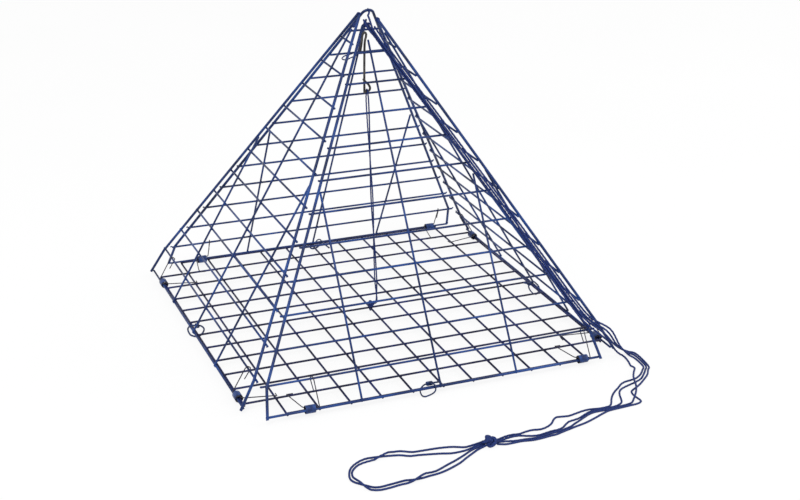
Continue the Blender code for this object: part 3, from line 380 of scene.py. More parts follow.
def bundle_stack(height):
    """How far the flat row of cords near the hinge has closed up into two layers."""
    share = (height - BUNDLE_FLAT_TO) / (BUNDLE_STACKED_FROM - BUNDLE_FLAT_TO)
    return min(max(share, 0.0), 1.0)


def bundle_offset(order, height):
    """A cord's place across the bundle: side by side, or half a spacing apart in layers."""
    flat = BUNDLE_LEFT + CORD_SPACING * order
    stacked = BUNDLE_STACK_LEFT + CORD_SPACING / 2 * order
    return flat + (stacked - flat) * bundle_stack(height)


def bundle_rise(order, height):
    layer = order % 2 * bundle_stack(height)
    return BUNDLE_RISE + layer * CORD_SPACING * math.sin(math.pi / 3)


def closing_route(name, order):
    """A cord's own points in metres, from its tip to the handle knot."""
    points = list(CORD_TOPS[name])
    for height in BUNDLE_HEIGHTS:
        points.append((leg_place(height) + bundle_offset(order, height), height, bundle_rise(order, height)))
    fan = LEG_BEND + BUNDLE_FAN
    spread = BUNDLE_SPREAD * order
    across = leg_place(fan) + bundle_offset(order, fan) + 0.7 + spread * 0.1
    points.append((across, fan + spread * 0.1, BUNDLE_RISE + 0.2))
    aside = PANEL_HALF_WIDTH + BUNDLE_SPREAD + spread
    points.append((aside, BUNDLE_HANDOVER + spread * 0.3, BUNDLE_RISE + spread * 0.13))
    on_panel = [panel_frame("front") @ Vector(point) for point in points]
    on_floor = [Vector((x, y, z + CORD_REST)) * MM for x, y, z in CORD_FLOORS[name]]
    return on_panel + on_floor


def settled(route):
    """The same route, kept from dipping under the floor between its points."""
    return [Vector((point.x, point.y, max(point.z, CORD_REST * MM))) for point in route]


for order, name in enumerate(CORD_ORDER):
    route = settled(smooth_route(closing_route(name, order), BRAID_STEP * MM))
    cord = tube("cord_" + name, route, strand_surface(CORD), BRAID_SIDES, CORD_FINISH, BRAID_SHARP)
    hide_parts("cord_edge_" + name, "cord_floor_" + name)
    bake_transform(cord)

# Handle loop
# Beyond the knot the cords go on as a loop of two strands to pull on. They lie
# on the floor in front of the trap, wander apart and cross, and come back.
HANDLE_LOOPS = {
    "outer": [
        (-6.3, -237.4, 0.7), (-13.0, -237.9, 0.0), (-18.0, -238.7, 0.0), (-22.4, -238.7, 0.0),
        (-30.2, -235.2, 0.0), (-38.9, -233.4, 0.0), (-46.4, -232.7, 0.0), (-54.0, -232.2, 0.0),
        (-59.9, -231.4, 0.0), (-67.4, -227.3, 0.0), (-72.1, -227.3, 0.5), (-77.4, -228.9, 2.0),
        (-81.9, -230.7, 2.1), (-85.3, -231.5, 1.6), (-88.6, -232.1, 0.5), (-92.3, -232.0, 0.0),
        (-98.0, -232.9, 0.0), (-102.8, -234.8, 0.0), (-107.6, -239.0, 0.0), (-110.2, -243.2, 0.0),
        (-111.3, -248.2, 0.2), (-111.1, -253.1, 1.2), (-110.3, -258.3, 2.1), (-109.4, -262.3, 2.0),
        (-107.7, -265.4, 0.9), (-105.1, -268.1, 0.0), (-100.0, -270.2, 0.0), (-92.6, -270.1, 0.0),
        (-84.8, -269.1, 0.0), (-79.6, -269.0, 0.0), (-75.1, -269.0, 0.9), (-71.0, -268.1, 2.0),
        (-67.0, -266.0, 2.1), (-63.0, -263.7, 1.4), (-57.7, -262.1, 0.2), (-52.6, -260.8, 0.0),
        (-43.0, -256.4, 0.0), (-35.3, -253.1, 0.0), (-27.1, -248.9, 0.0), (-20.9, -245.4, 0.0),
        (-14.4, -242.7, 0.0), (-6.6, -241.1, 0.3),
    ],
    "inner": [
        (-6.6, -239.2, 0.3), (-13.6, -240.4, 0.0), (-19.4, -242.2, 0.0), (-24.6, -243.4, 0.0),
        (-33.9, -243.3, 0.0), (-42.1, -240.7, 0.0), (-56.2, -237.3, 0.0), (-63.4, -236.0, 0.0),
        (-69.6, -232.5, 0.0), (-76.5, -230.6, 0.0), (-83.6, -229.2, 0.0), (-89.4, -228.4, 0.0),
        (-93.8, -228.2, 0.0), (-98.9, -229.6, 0.0), (-104.8, -233.1, 0.0), (-109.2, -237.5, 0.0),
        (-112.2, -243.2, 0.0), (-113.9, -249.4, 0.0), (-112.9, -254.2, 0.0), (-109.2, -258.9, 0.0),
        (-106.3, -262.0, 0.0), (-103.1, -265.2, 0.0), (-98.6, -266.7, 0.0), (-91.0, -266.2, 0.0),
        (-83.3, -265.4, 0.0), (-78.7, -265.2, 0.0), (-74.6, -266.1, 0.0), (-70.3, -266.5, 0.0),
        (-65.7, -266.4, 0.0), (-60.8, -265.7, 0.0), (-56.1, -265.3, 0.0), (-51.1, -264.4, 0.0),
        (-43.9, -262.0, 0.0), (-34.2, -257.6, 0.0), (-27.6, -253.3, 0.0), (-20.0, -248.6, 0.0),
        (-13.8, -245.1, 0.0), (-6.3, -243.0, 0.7),
    ],
}

loop_routes = {}
handle_loops = {}
for name, points in HANDLE_LOOPS.items():
    laid = [Vector((x, y, z + CORD_REST)) * MM for x, y, z in points]
    route = settled(smooth_route(laid, BRAID_STEP * MM))
    loop = tube("loop_" + name, route, strand_surface(CORD), BRAID_SIDES, CORD_FINISH, BRAID_SHARP)
    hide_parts("handle_loop_" + name)
    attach(loop, "base")
    loop_routes[name] = route
    handle_loops[name] = loop

# Handle knot
# One overhand knot that all the cords are tied in, pulled tight: its passes lie
# close on each other, with a second strand wound through the middle.
KNOT_PLACE = Vector((-3.6, -241.6, 3.5))
KNOT_REACH = 2.8
KNOT_TUBE = 2.1
KNOT_STRAND = 2.5
KNOT_TURN = math.radians(55)
KNOT_POINTS = 120
KNOT_CORE = 0.9
KNOT_CORE_TURN = 1.2


def overhand(place, reach, tube, turned=0.0):
    """A closed overhand knot's line round an upright axis."""
    line = []
    for step in range(KNOT_POINTS):
        turn = 2 * math.pi * step / KNOT_POINTS
        away = reach + tube * math.cos(3 * turn + turned)
        line.append(place + Vector((away * math.cos(2 * turn), away * math.sin(2 * turn),
                                    tube * math.sin(3 * turn + turned))))
    return line


def tied(bm, place, reach, tube, thickness, turn=Matrix.Identity(3)):
    """A tight round knot: the overhand line and a smaller one wound through it."""
    for size, start in ((1.0, 0.0), (KNOT_CORE * reach / (reach + tube), KNOT_CORE_TURN)):
        line = overhand(Vector(), reach * size, tube * size, start)
        sweep(bm, [(place + turn @ point) * MM for point in line], strand_surface(thickness), BRAID_SIDES,
              closed=True)


bm = bmesh.new()
tied(bm, KNOT_PLACE, KNOT_REACH, KNOT_TUBE, KNOT_STRAND, Matrix.Rotation(KNOT_TURN, 3, "Z"))
handle_knot = finished("knot_on_handle", bm, CORD_FINISH, BRAID_SHARP)
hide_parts("handle_knot")
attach(handle_knot, "base")

for name, loop in handle_loops.items():
    route = loop_routes[name]

# Base
# Two layers of straight coated wires welded where they cross. The outermost
# wires stop one cell short of the corners, and the inner ones poke past them.
MESH_PITCH = 25.4
BASE_CELLS = 12
BASE_HALF = MESH_PITCH * BASE_CELLS / 2
BASE_POKE = 1.2
# The four outermost wires are pushed out a little, towards the panels' bottom wires.
EDGE_SLIP = 0.35
WIRE_SIDES = 12
# A cut end: how far the coating eases it, and how much narrower it is, of its radius.
END_EASE = 0.35
END_SIZE = 0.72
NAVY = (0.0105, 0.0145, 0.064)
NAVY_DARK = (0.007, 0.009, 0.035)
NAVY_LIGHT = (0.0145, 0.026, 0.13)
WELD_REACH = (1.25, 1.25, 0.62)
BEAD_SIDES = (10, 6)
GRID_CORNER = GRID_WIRE / 2 / math.cos(math.pi / 6)
LOW_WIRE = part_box("base_grid")[0].z / MM + GRID_CORNER
HIGH_WIRE = LOW_WIRE + GRID_WIRE - WELD_SINK


def coated_wire():
    """Dipped navy coating: blotchy where it ran, slightly rippled, half glossy."""
    made, tree, shader, place = start_material("navy_coating", 0.36, shine=0.19)
    tint(tree, shader, grain(tree, place, 55.0), [(0.36, NAVY_DARK), (0.5, NAVY), (0.68, NAVY_LIGHT)])
    dull(tree, shader, place, 300.0, 0.28, 0.5)
    roughen(tree, shader, place, 900.0, 2.0, 0.25, 0.0002)
    return made


GRID_FINISH = coated_wire()


def round_wire(bm, start, end, diameter):
    """A straight wire with its two cut ends rounded over by the coating."""
    radius = diameter / 2
    shoulder = (end - start).normalized() * radius * END_EASE
    route = [start, start + shoulder, end - shoulder, end]
    length = (end - start).length * MM

    def reach(turn, along):
        near = min(along, length - along)
        return radius * MM * (END_SIZE if near < shoulder.length * MM / 2 else 1.0)

    sweep(bm, [point * MM for point in route], reach, WIRE_SIDES)


def weld_bead(bm, place, turn=Matrix.Identity(3), size=1.0):
    """The coating's small swelling where two wires are welded."""
    made = bmesh.ops.create_uvsphere(bm, u_segments=BEAD_SIDES[0], v_segments=BEAD_SIDES[1], radius=1.0)
    bmesh.ops.scale(bm, vec=[reach * size * MM for reach in WELD_REACH], verts=made["verts"])
    bmesh.ops.rotate(bm, matrix=turn, verts=made["verts"])
    bmesh.ops.translate(bm, vec=place * MM, verts=made["verts"])


def grid_reach(index):
    return BASE_HALF - (MESH_PITCH if index in (0, BASE_CELLS) else 0.0) + BASE_POKE


bm = bmesh.new()
lines = [-BASE_HALF + MESH_PITCH * index for index in range(BASE_CELLS + 1)]
lines[0] -= EDGE_SLIP
lines[-1] += EDGE_SLIP
for index, line in enumerate(lines):
    reach = grid_reach(index)
    round_wire(bm, Vector((line, -reach, LOW_WIRE)), Vector((line, reach, LOW_WIRE)), GRID_WIRE)
    round_wire(bm, Vector((-reach, line, HIGH_WIRE)), Vector((reach, line, HIGH_WIRE)), GRID_WIRE)
for column, across in enumerate(lines):
    for row, along in enumerate(lines):
        if (column in (0, BASE_CELLS)) and (row in (0, BASE_CELLS)):
            continue
        weld_bead(bm, Vector((across, along, (LOW_WIRE + HIGH_WIRE) / 2)))
base_wires = finished("base_wires", bm, GRID_FINISH)
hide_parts("base_grid")
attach(base_wires, "base")

# Panels
# Four triangles of heavier wire, bent at the foot and round at the tip, with
# eleven cross wires, a bottom wire and three uprights welded on.
ROW_PITCH = 24.9
PANEL_ROWS = 11
TIP_RADIUS = {"front": 3.0, "right": 3.0, "back": 5.5, "left": 3.0}
LEG_TAIL = 2.0
ROW_POKE = -1.8
# Each bottom wire's thickness with its coating.
BOTTOM_WIRE = {"front": 1.95, "right": 1.7, "back": 1.7, "left": 1.7}
LEG_WELD = 0.75
WIRE_TAIL = 0.5
UPRIGHTS = ((0.0, 282.0), (-65.0, 162.5), (65.0, 162.5))
LEG_LEAN = math.atan2(PANEL_HALF_WIDTH, PANEL_SLANT - LEG_BEND)
TIP_TOP = {side: PANEL_SLANT - radius / math.sin(LEG_LEAN) + radius for side, radius in TIP_RADIUS.items()}
BEND_RADIUS = 5.0
BEND_STEPS = 6
TIP_STEPS = 16
ROYAL = (0.0085, 0.03, 0.138)
ROYAL_DARK = (0.006, 0.017, 0.07)
ROYAL_LIGHT = (0.013, 0.059, 0.243)


def frame_coating():
    """The same dip in a brighter blue, thicker on the heavy frame wire."""
    made, tree, shader, place = start_material("royal_coating", 0.33, shine=0.22)
    tint(tree, shader, grain(tree, place, 40.0), [(0.34, ROYAL_DARK), (0.5, ROYAL), (0.68, ROYAL_LIGHT)])
    dull(tree, shader, place, 280.0, 0.25, 0.46)
    roughen(tree, shader, place, 800.0, 2.0, 0.25, 0.0002)
    return made


FRAME_FINISH = frame_coating()


def rounded(corner_before, corner, corner_after, radius, steps):
    """Points round a bend of a wire, in place of its sharp corner."""
    first = (corner_before - corner).normalized()
    second = (corner_after - corner).normalized()
    half = first.angle(second) / 2
    reach = radius / math.tan(half)
    middle = corner + (first + second).normalized() * radius / math.sin(half)
    start = corner + first * reach - middle
    end = corner + second * reach - middle
    points = []
    for step in range(steps + 1):
        points.append(middle + start.slerp(end, step / steps))
    return points


def leg_route(side):
    """The frame wire's line in the panel's own frame, from one tail to the other."""
    radius = TIP_RADIUS[side]
    centre = TIP_TOP[side] - radius
    arc = []
    for step in range(TIP_STEPS + 1):
        turn = LEG_LEAN + (math.pi - 2 * LEG_LEAN) * step / TIP_STEPS
        arc.append(Vector((radius * math.cos(turn), centre + radius * math.sin(turn), FRAME_RISE)))
    tail = Vector((PANEL_HALF_WIDTH, -LEG_TAIL, FRAME_RISE))
    bend = Vector((PANEL_HALF_WIDTH, LEG_BEND, FRAME_RISE))
    right = [tail, tail + Vector((0, 0.4, 0))] + rounded(tail, bend, arc[0], BEND_RADIUS, BEND_STEPS)
    left = [Vector((-point.x, point.y, point.z)) for point in reversed(right)]
    return right + arc + left


def plain_surface(thickness):
    """A function that gives the radius of a smooth wire of a thickness."""
    return lambda turn, along: thickness / 2 * MM


for side in SIDES:
    place = panel_frame(side)
    turn = place.to_3x3().normalized()
    line = [place @ point for point in leg_route(side)]
    legs = tube("frame_" + side, line, plain_surface(FRAME_WIRE), WIRE_SIDES, FRAME_FINISH)
    bm = bmesh.new()
    rise = GRID_WIRE - WELD_SINK
    heights = [0.0] + [LEG_BEND + ROW_PITCH * row for row in range(PANEL_ROWS)]
    for across, top in UPRIGHTS:
        start = place @ Vector((across, -WIRE_TAIL, rise)) / MM
        end = place @ Vector((across, top, rise)) / MM
        round_wire(bm, start, end, GRID_WIRE)
    for height in heights:
        slope = math.cos(LEG_LEAN) if height > LEG_BEND else 1.0
        reach = leg_place(height) + FRAME_WIRE / 2 / slope + ROW_POKE
        start = place @ Vector((-reach, height, 0)) / MM
        end = place @ Vector((reach, height, 0)) / MM
        round_wire(bm, start, end, GRID_WIRE if height else BOTTOM_WIRE[side])
        crossings = [0.0] + [across for across, top in UPRIGHTS if across and height < top]
        for across in crossings:
            weld_bead(bm, place @ Vector((across, height, rise / 2)) / MM, turn)
        for way in (-1, 1):
            spot = Vector((way * leg_place(height), height, FRAME_RISE / 2))
            weld_bead(bm, place @ spot / MM, turn, LEG_WELD)
    rows = finished("rows_" + side, bm, FRAME_FINISH)
    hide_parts("panel_" + side)
    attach(legs, side + "_panel")
    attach(rows, side + "_panel")

# Tip knots
# Each closing cord is wound round its panel's tip, close over the round of the
# wire. Two of the cords end in a bulkier knot, and the back's hangs from the tip.
WOUND_TURNS = {"front": 2, "right": 2, "back": 1, "left": 2}
WOUND_CORD = {"front": 1.15, "right": 0.8, "back": 0.6, "left": 0.8}
WOUND_PITCH = 1.25
WOUND_STEPS = 20
# Where a tied end is bulky, its middle from the tip: along, up and out of the panel.
TIED_ENDS = {"front": (1.2, -0.6, 1.3), "left": (3.2, -9.0, 0.0)}
TIED_REACH = 1.2
TIED_TUBE = 0.75
TIED_CORD = 1.15
# The end that hangs from the back's tip, and a loose end in a loop behind the front
# panel's left leg, both in the front panel's own frame: along, up, out.
HANGING_END = [(5.9, 305.4, 1.8), (4.8, 303.4, 2.9), (3.4, 301.7, 3.6)]
LOOSE_END = [
    (-14.3, 272.7, -1.6), (-16.9, 272.3, -1.6), (-20.9, 271.5, -1.6), (-23.2, 270.3, -1.6),
    (-23.9, 269.3, -1.6), (-22.8, 268.4, -1.6), (-19.5, 268.4, -1.6), (-15.8, 269.6, -1.6),
    (-13.1, 270.4, -1.6), (-10.5, 271.3, -1.6),
]
LOOSE_CORD = 0.9


def wound_line(side):
    """A cord's line wound round the wire at a panel's tip, in the panel's own frame."""
    radius = TIP_RADIUS[side]
    turns = WOUND_TURNS[side]
    reach = FRAME_WIRE / 2 + WOUND_CORD[side] * 0.4
    spread = turns * WOUND_PITCH / radius
    line = []
    steps = turns * WOUND_STEPS
    for step in range(steps + 1):
        share = step / steps
        round_tip = math.pi / 2 + spread * (share - 0.5)
        outward = Vector((math.cos(round_tip), math.sin(round_tip), 0))
        turn = 2 * math.pi * turns * share - math.pi / 2
        middle = Vector((0, TIP_TOP[side] - radius, FRAME_RISE)) + outward * radius
        line.append(middle + (outward * math.cos(turn) + Vector((0, 0, 1)) * math.sin(turn)) * reach)
    return line


def loose(points, step=0.4):
    """A loose end's line in metres, from points in the front panel's own frame."""
    place = panel_frame("front")
    return [place @ point for point in smooth_route(points, step)]


for side in SIDES:
    place = panel_frame(side)
    bm = bmesh.new()
    sweep(bm, [place @ point for point in wound_line(side)], strand_surface(WOUND_CORD[side]), BRAID_SIDES)
    if side in TIED_ENDS:
        middle = Vector((0, TIP_TOP[side], FRAME_RISE)) + Vector(TIED_ENDS[side])
        tied(bm, place @ middle / MM, TIED_REACH, TIED_TUBE, TIED_CORD, place.to_3x3().normalized())
    if side == "front":
        sweep(bm, loose(LOOSE_END), strand_surface(LOOSE_CORD), BRAID_SIDES)
    if side == "back":
        sweep(bm, loose(HANGING_END), strand_surface(CORD), BRAID_SIDES)
    knot = finished("knot_tip_" + side, bm, CORD_FINISH, BRAID_SHARP)
    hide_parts("tip_knot_" + side)
    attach(knot, side + "_panel")

# Sleeves
# Short lengths of plastic tube, slipped over the two hinge wires with the spring's coil inside.
# The blue dip covers them outside; their cut ends and bore are painted near black, as painted shade for the
# tube's dark inside.
SLEEVE_ROOM = 9.0
SLEEVE_LENGTH = 7.9
SLEEVE_WALL = 0.35
SLEEVE_DIAMETER = 6.5
SLEEVE_UP = 0.25
SLEEVE_IN = 0.2
SLEEVE_EASE = 0.15
SLEEVE_SIDES = 32
SLEEVE_BLUE = (0.016, 0.056, 0.22)
SLEEVE_SHADE = (0.006, 0.018, 0.08)
# The next two colours are painted shade: the near black of the tubes' ends and bore, mottled at random.
INSIDE_SHADE_DARK = (0.006, 0.007, 0.012)
INSIDE_SHADE_MOTTLE = (0.014, 0.016, 0.026)
# How far each sleeve has slipped along its edge from the middle of its room.
SLEEVE_SLIP = {
    "front_left": -0.5, "front_right": 0.45, "right_front": 0.4, "right_back": 0.45,
    "back_right": -0.4, "back_left": 0.0, "left_back": -0.4, "left_front": -0.4,
}
HINGE_OUT = 2.3
HINGE_RISE = 0.5
EDGE_HEIGHT = {"front": HIGH_WIRE, "right": LOW_WIRE, "back": HIGH_WIRE, "left": LOW_WIRE}
# Edge, name, the base wire that the sleeve lies beside, on which side of it and how
# far from it, and the way in which the arm on the base leaves
SPRINGS = (
    ("front", "front_left", 2, -1, 1.9, -1),
    ("front", "front_right", 11, -1, 0.5, -1),
    ("right", "right_front", 1, 1, 2.5, 1),
    ("right", "right_back", 11, -1, 0.5, -1),
    ("back", "back_right", 1, 1, 0.5, 1),
    ("back", "back_left", 10, 1, 0.7, 1),
    ("left", "left_back", 1, 1, 6.5, 1),
    ("left", "left_front", 11, -1, 8.5, 1),
)


def sleeve_plastic():
    """The blue dip on the tube, satin with faint scuffs."""
    made, tree, shader, place = start_material("sleeve_plastic", 0.4, shine=0.3)
    tint(tree, shader, grain(tree, place, 260.0, 4.0), [(0.35, SLEEVE_SHADE), (0.6, SLEEVE_BLUE)])
    dull(tree, shader, place, 700.0, 0.32, 0.52)
    roughen(tree, shader, place, 1400.0, 3.0, 0.2, 0.00015)
    return made


def painted_tube_shade():
    """Painted shade: near-black plastic, mottled at random, on the tube's cut ends and inside."""
    made, tree, shader, place = start_material("painted_tube_shade", 0.6)
    tint(tree, shader, grain(tree, place, 500.0), [(0.4, INSIDE_SHADE_DARK), (0.65, INSIDE_SHADE_MOTTLE)])
    roughen(tree, shader, place, 2400.0, 3.0, 0.2, 0.0001)
    return made


SLEEVE_FINISH = sleeve_plastic()
TUBE_SHADE_FINISH = painted_tube_shade()


def edge_frame(side):
    """An edge's own frame: X along it, Y into the trap, Z up."""
    turn = Matrix.Rotation(math.radians(90 * SIDES.index(side)), 4, "Z")
    place = turn @ Vector((0, -BASE_HALF, EDGE_HEIGHT[side])) * MM
    return Matrix.Translation(place) @ turn @ Matrix.Scale(MM, 4)


def turned_tube(bm, matrix, profile, steps):
    """A ring of faces from a profile of (along, radius, finish) turned round the X axis."""
    loops = []
    for along, radius, finish in profile:
        loop = []
        for step in range(steps):
            turn = 2 * math.pi * step / steps
            spot = Vector((along, radius * math.cos(turn), radius * math.sin(turn)))
            loop.append(bm.verts.new(matrix @ spot))
        loops.append(loop)
    for (along, radius, finish), loop, following in zip(profile, loops, loops[1:] + loops[:1]):
        for step in range(steps):
            beside_it = (step + 1) % steps
            face = bm.faces.new((loop[step], loop[beside_it], following[beside_it], following[step]))
            face.material_index = finish


def sleeve_profile():
    """The tube's wall in section, its four edges eased: blue skin 0, painted shade on the ends and bore 1.
    """
    half = SLEEVE_LENGTH / 2
    out = SLEEVE_DIAMETER / 2
    bore = out - SLEEVE_WALL
    ease = SLEEVE_EASE
    return [
        (-half, out - ease, 1), (-half + ease * 0.3, out - ease * 0.3, 0), (-half + ease, out, 0),
        (half - ease, out, 0), (half - ease * 0.3, out - ease * 0.3, 1), (half, out - ease, 1),
        (half, bore + ease, 1), (half - ease, bore, 1), (-half + ease, bore, 1), (-half, bore + ease, 1),
    ]


def sleeve_place(wire, way, apart):
    """How far along its edge the middle of a sleeve's room stands."""
    return lines[wire] + way * (GRID_CORNER + apart + SLEEVE_ROOM / 2)


for side, name, wire, way, apart, hand in SPRINGS:
    along = sleeve_place(wire, way, apart)
    bm = bmesh.new()
    centre = (along + SLEEVE_SLIP[name], SLEEVE_IN - HINGE_OUT / 2, SLEEVE_UP + HINGE_RISE / 2)
    turned_tube(bm, edge_frame(side) @ Matrix.Translation(centre), sleeve_profile(), SLEEVE_SIDES)
    sleeve = finished("tube_" + name, bm, SLEEVE_FINISH, 30.0)
    # The second material paints shade on the tube's ends and bore.
    sleeve.data.materials.append(TUBE_SHADE_FINISH)
    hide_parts("sleeve_" + name)
    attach(sleeve, "base")

# Springs
# Torsion springs of thin steel wire. The coil sits in the sleeve; one arm hooks
# over the base's next wire and the other over the panel's lowest cross wire.
SPRING_WIRE = 0.7
# The wire with the coating and dirt on it.
SPRING_DIRTY = 0.85
SPRING_SIDES = 8
ARM_BEND = 1.2
HOOK_BEND = 0.8
SPRING_TURNS = 2
COIL_START = 60.0
COIL_OVERRUN = 0.2
COIL_RADIUS = 2.5
SPRING_HOOK_RUN = 6.0
SPRING_ARM_RETURN = 9.0
SPRING_ARM_SPREAD = 1.3
SPRING_ARM_FOOT = (1.2, 1.5)
PANEL_SHIFT = {"front": -3.8, "right": -1.2, "back": -1.8, "left": -7.2}
GAP = 0.3
SPRING_LIFT = GRID_CORNER + GAP + SPRING_WIRE / 2
STEEL = (0.023, 0.024, 0.048)
STEEL_DARK = (0.01, 0.0105, 0.022)


def spring_steel():
    """Drawn steel gone dull, with darker stains along the wire."""
    made, tree, shader, place = start_material("spring_steel", 0.5, 0.35)
    tint(tree, shader, grain(tree, place, 180.0, 4.0), [(0.38, STEEL_DARK), (0.62, STEEL)])
    dull(tree, shader, place, 900.0, 0.3, 0.6)
    roughen(tree, shader, place, 2400.0, 2.0, 0.15, 0.0001)
    return made


SPRING_FINISH = spring_steel()


def softened(points, radius, steps=5):
    """A bent wire's line with a small radius at each bend."""
    line = [points[0]]
    for before, corner, after in zip(points, points[1:], points[2:]):
        room = min((before - corner).length, (after - corner).length) * 0.45
        first, second = (before - corner).normalized(), (after - corner).normalized()
        angle = first.angle(second)
        if angle > math.radians(170):
            line.append(corner)
            continue
        line += rounded(before, corner, after, min(radius, room * math.tan(angle / 2)), steps)
    line.append(points[-1])
    return line


def coil_line(along, hand):
    """The coil's line in the edge's frame, from the base arm's end to the other."""
    steps = round(24 * (SPRING_TURNS + COIL_OVERRUN))
    line = []
    for step in range(steps + 1):
        share = step / steps
        turn = math.radians(COIL_START) + 2 * math.pi * (SPRING_TURNS + COIL_OVERRUN) * share
        run = (share - 0.5) * (SLEEVE_ROOM - SPRING_WIRE)
        line.append(Vector((along - hand * run, -HINGE_OUT / 2 + COIL_RADIUS * math.cos(turn),
                            HINGE_RISE / 2 + COIL_RADIUS * math.sin(turn))))
    return line


for side, name, wire, way, apart, hand in SPRINGS:
    along = sleeve_place(wire, way, apart)
    edge = edge_frame(side)
    coil = coil_line(along, hand)
    outside = along + hand * (SLEEVE_ROOM / 2 + SPRING_WIRE + GAP)
    behind = MESH_PITCH + GRID_CORNER + GAP + SPRING_WIRE
    arm = [Vector(point) for point in (
        (outside - hand * SPRING_HOOK_RUN / 6, behind, GRID_WIRE / 8),
        (outside + hand * SPRING_HOOK_RUN * 0.6, behind, GRID_WIRE / 8),
        (outside + hand * SPRING_HOOK_RUN * 0.75, MESH_PITCH + GRID_CORNER, SPRING_LIFT * 0.75),
        (outside + hand * SPRING_HOOK_RUN * 0.75, MESH_PITCH - GRID_WIRE, SPRING_LIFT),
        (outside + hand * SPRING_WIRE, 2 * GRID_WIRE, SPRING_LIFT + GAP),
        (outside, coil[0].y, coil[0].z),
        coil[0],
    )]
    line = [edge @ point for point in softened(arm, ARM_BEND)[:-1] + coil]
    spring = tube("coil_" + name, line, plain_surface(SPRING_DIRTY), SPRING_SIDES, SPRING_FINISH)
    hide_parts("spring_" + name)
    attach(spring, "base")

    start = along - PANEL_SHIFT[side] - hand * (SLEEVE_ROOM / 2 + GAP)
    aside = start - hand * (SPRING_WIRE + GAP)
    clear = GRID_CORNER + GAP + SPRING_WIRE / 2
    spread_out = hand * SPRING_ARM_SPREAD
    hook = [Vector(point) for point in (
        (start, *SPRING_ARM_FOOT),
        (aside, *SPRING_ARM_FOOT),
        (aside, LEG_BEND - clear, clear),
        (aside + spread_out * 0.4, LEG_BEND + clear * 0.8, clear * 0.8),
        (aside + spread_out, LEG_BEND + clear * 0.8, -clear * 0.8),
        (aside + spread_out, LEG_BEND - clear, -clear),
        (aside + spread_out * 0.5, LEG_BEND - SPRING_ARM_RETURN, -clear),
    )]
    place = panel_frame(side)
    line = [place @ point for point in softened(hook, HOOK_BEND)]
    panel_arm = tube("arm_" + name, line, plain_surface(SPRING_DIRTY), SPRING_SIDES, SPRING_FINISH)
    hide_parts("spring_arm_" + name)
    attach(panel_arm, side + "_panel")

# Hinge ties
# Thin nylon cable ties. Each one is pushed through its own head and left as a
# loose ring round both hinge wires, with its end cut off.
TIE_STRAP = (1.5, 1.15)
TIE_HEAD = {
    "front": (5.6, 3.0, 2.8), "right": (3.8, 2.8, 2.4), "back": (3.6, 2.7, 2.3), "left": (4.8, 3.2, 2.8),
}
TIE_EASE = 0.45
STRAP_SIDES = 10
STRAP_STEP = 0.7
TAIL_STEP = 1.0
TIE_DARK = (0.007, 0.013, 0.045)
TIE_BLUE = (0.016, 0.043, 0.15)
# Each ring in its edge's frame: along, into the trap, and height over the floor.
TIE_RINGS = {
    "front": [
        (-8.6, -4.6, 4.2), (-8.4, -3.6, 7.0), (-9.0, -1.2, 7.6), (-10.0, 1.4, 6.8), (-12.5, 3.2, 6.3),
        (-15.6, 3.6, 5.0), (-18.4, 2.4, 2.8), (-19.6, -0.8, 1.8), (-19.6, -4.4, 0.9), (-18.0, -6.0, 0.75),
        (-15.5, -5.6, 0.75), (-12.0, -4.9, 1.2), (-9.6, -4.9, 2.6),
    ],
    "right": [
        (-4.5, 0.2, 6.5), (-4.4, -2.6, 6.3), (-4.9, -4.6, 4.5), (-6.0, -6.2, 2.6), (-9.5, -5.6, 1.2),
        (-13.0, -3.4, 0.8), (-16.0, -0.8, 0.75), (-18.4, 1.8, 0.9), (-19.4, 4.2, 1.6), (-18.0, 6.0, 2.6),
        (-14.5, 6.4, 3.8), (-10.5, 5.6, 4.6), (-7.0, 4.0, 6.0), (-5.2, 2.2, 6.6),
    ],
    "back": [
        (2.2, -0.8, 2.4), (1.4, -4.2, 1.6), (-1.0, -6.0, 1.0), (-3.8, -6.6, 2.0), (-5.8, -6.2, 4.5),
        (-7.4, -5.2, 6.6), (-8.6, -3.4, 7.4), (-9.0, -0.6, 7.1), (-8.6, 1.8, 6.6), (-7.0, 3.2, 5.4),
        (-5.0, 3.2, 3.6), (-2.6, 2.8, 1.9), (0.4, 1.8, 1.2), (2.0, 0.6, 1.6),
    ],
    "left": [
        (-15.2, 0.9, 6.3), (-17.6, -2.0, 6.1), (-18.0, -4.7, 4.0), (-16.5, -5.2, 2.0), (-11.5, -4.8, 0.75),
        (-8.0, -3.2, 0.75), (-5.9, -0.6, 0.75), (-6.6, 2.0, 0.8), (-9.6, 5.2, 1.3), (-12.6, 7.4, 2.6),
        (-13.4, 6.9, 4.6), (-14.2, 4.4, 6.3),
    ],
}
# Where each tie's head sits, and the end of its cut tail, in the same frame.
TIE_HEADS = {
    "front": ((-10.8, 2.6, 6.6), (-1.0, 2.6, 6.4)),
    "right": ((-6.8, 3.8, 6.2), (-5.0, 8.5, 7.4)),
    "back": ((-8.6, 2.4, 7.0), (-9.3, 21.0, 8.0)),
    "left": ((-14.8, 2.2, 6.4), (-19.5, 6.0, 8.0)),
}


def tie_nylon():
    """Dark blue nylon with a soft shine."""
    made, tree, shader, place = start_material("tie_nylon", 0.45, shine=0.3)
    tint(tree, shader, grain(tree, place, 420.0), [(0.38, TIE_DARK), (0.64, TIE_BLUE)])
    dull(tree, shader, place, 900.0, 0.35, 0.55)
    roughen(tree, shader, place, 2600.0, 2.0, 0.2, 0.0001)
    return made


TIE_FINISH = tie_nylon()


def strap_surface(turn, along):
    """A strap's section: an ellipse, wider than it is thick."""
    return math.hypot(TIE_STRAP[0] / 2 * math.cos(turn), TIE_STRAP[1] / 2 * math.sin(turn)) * MM


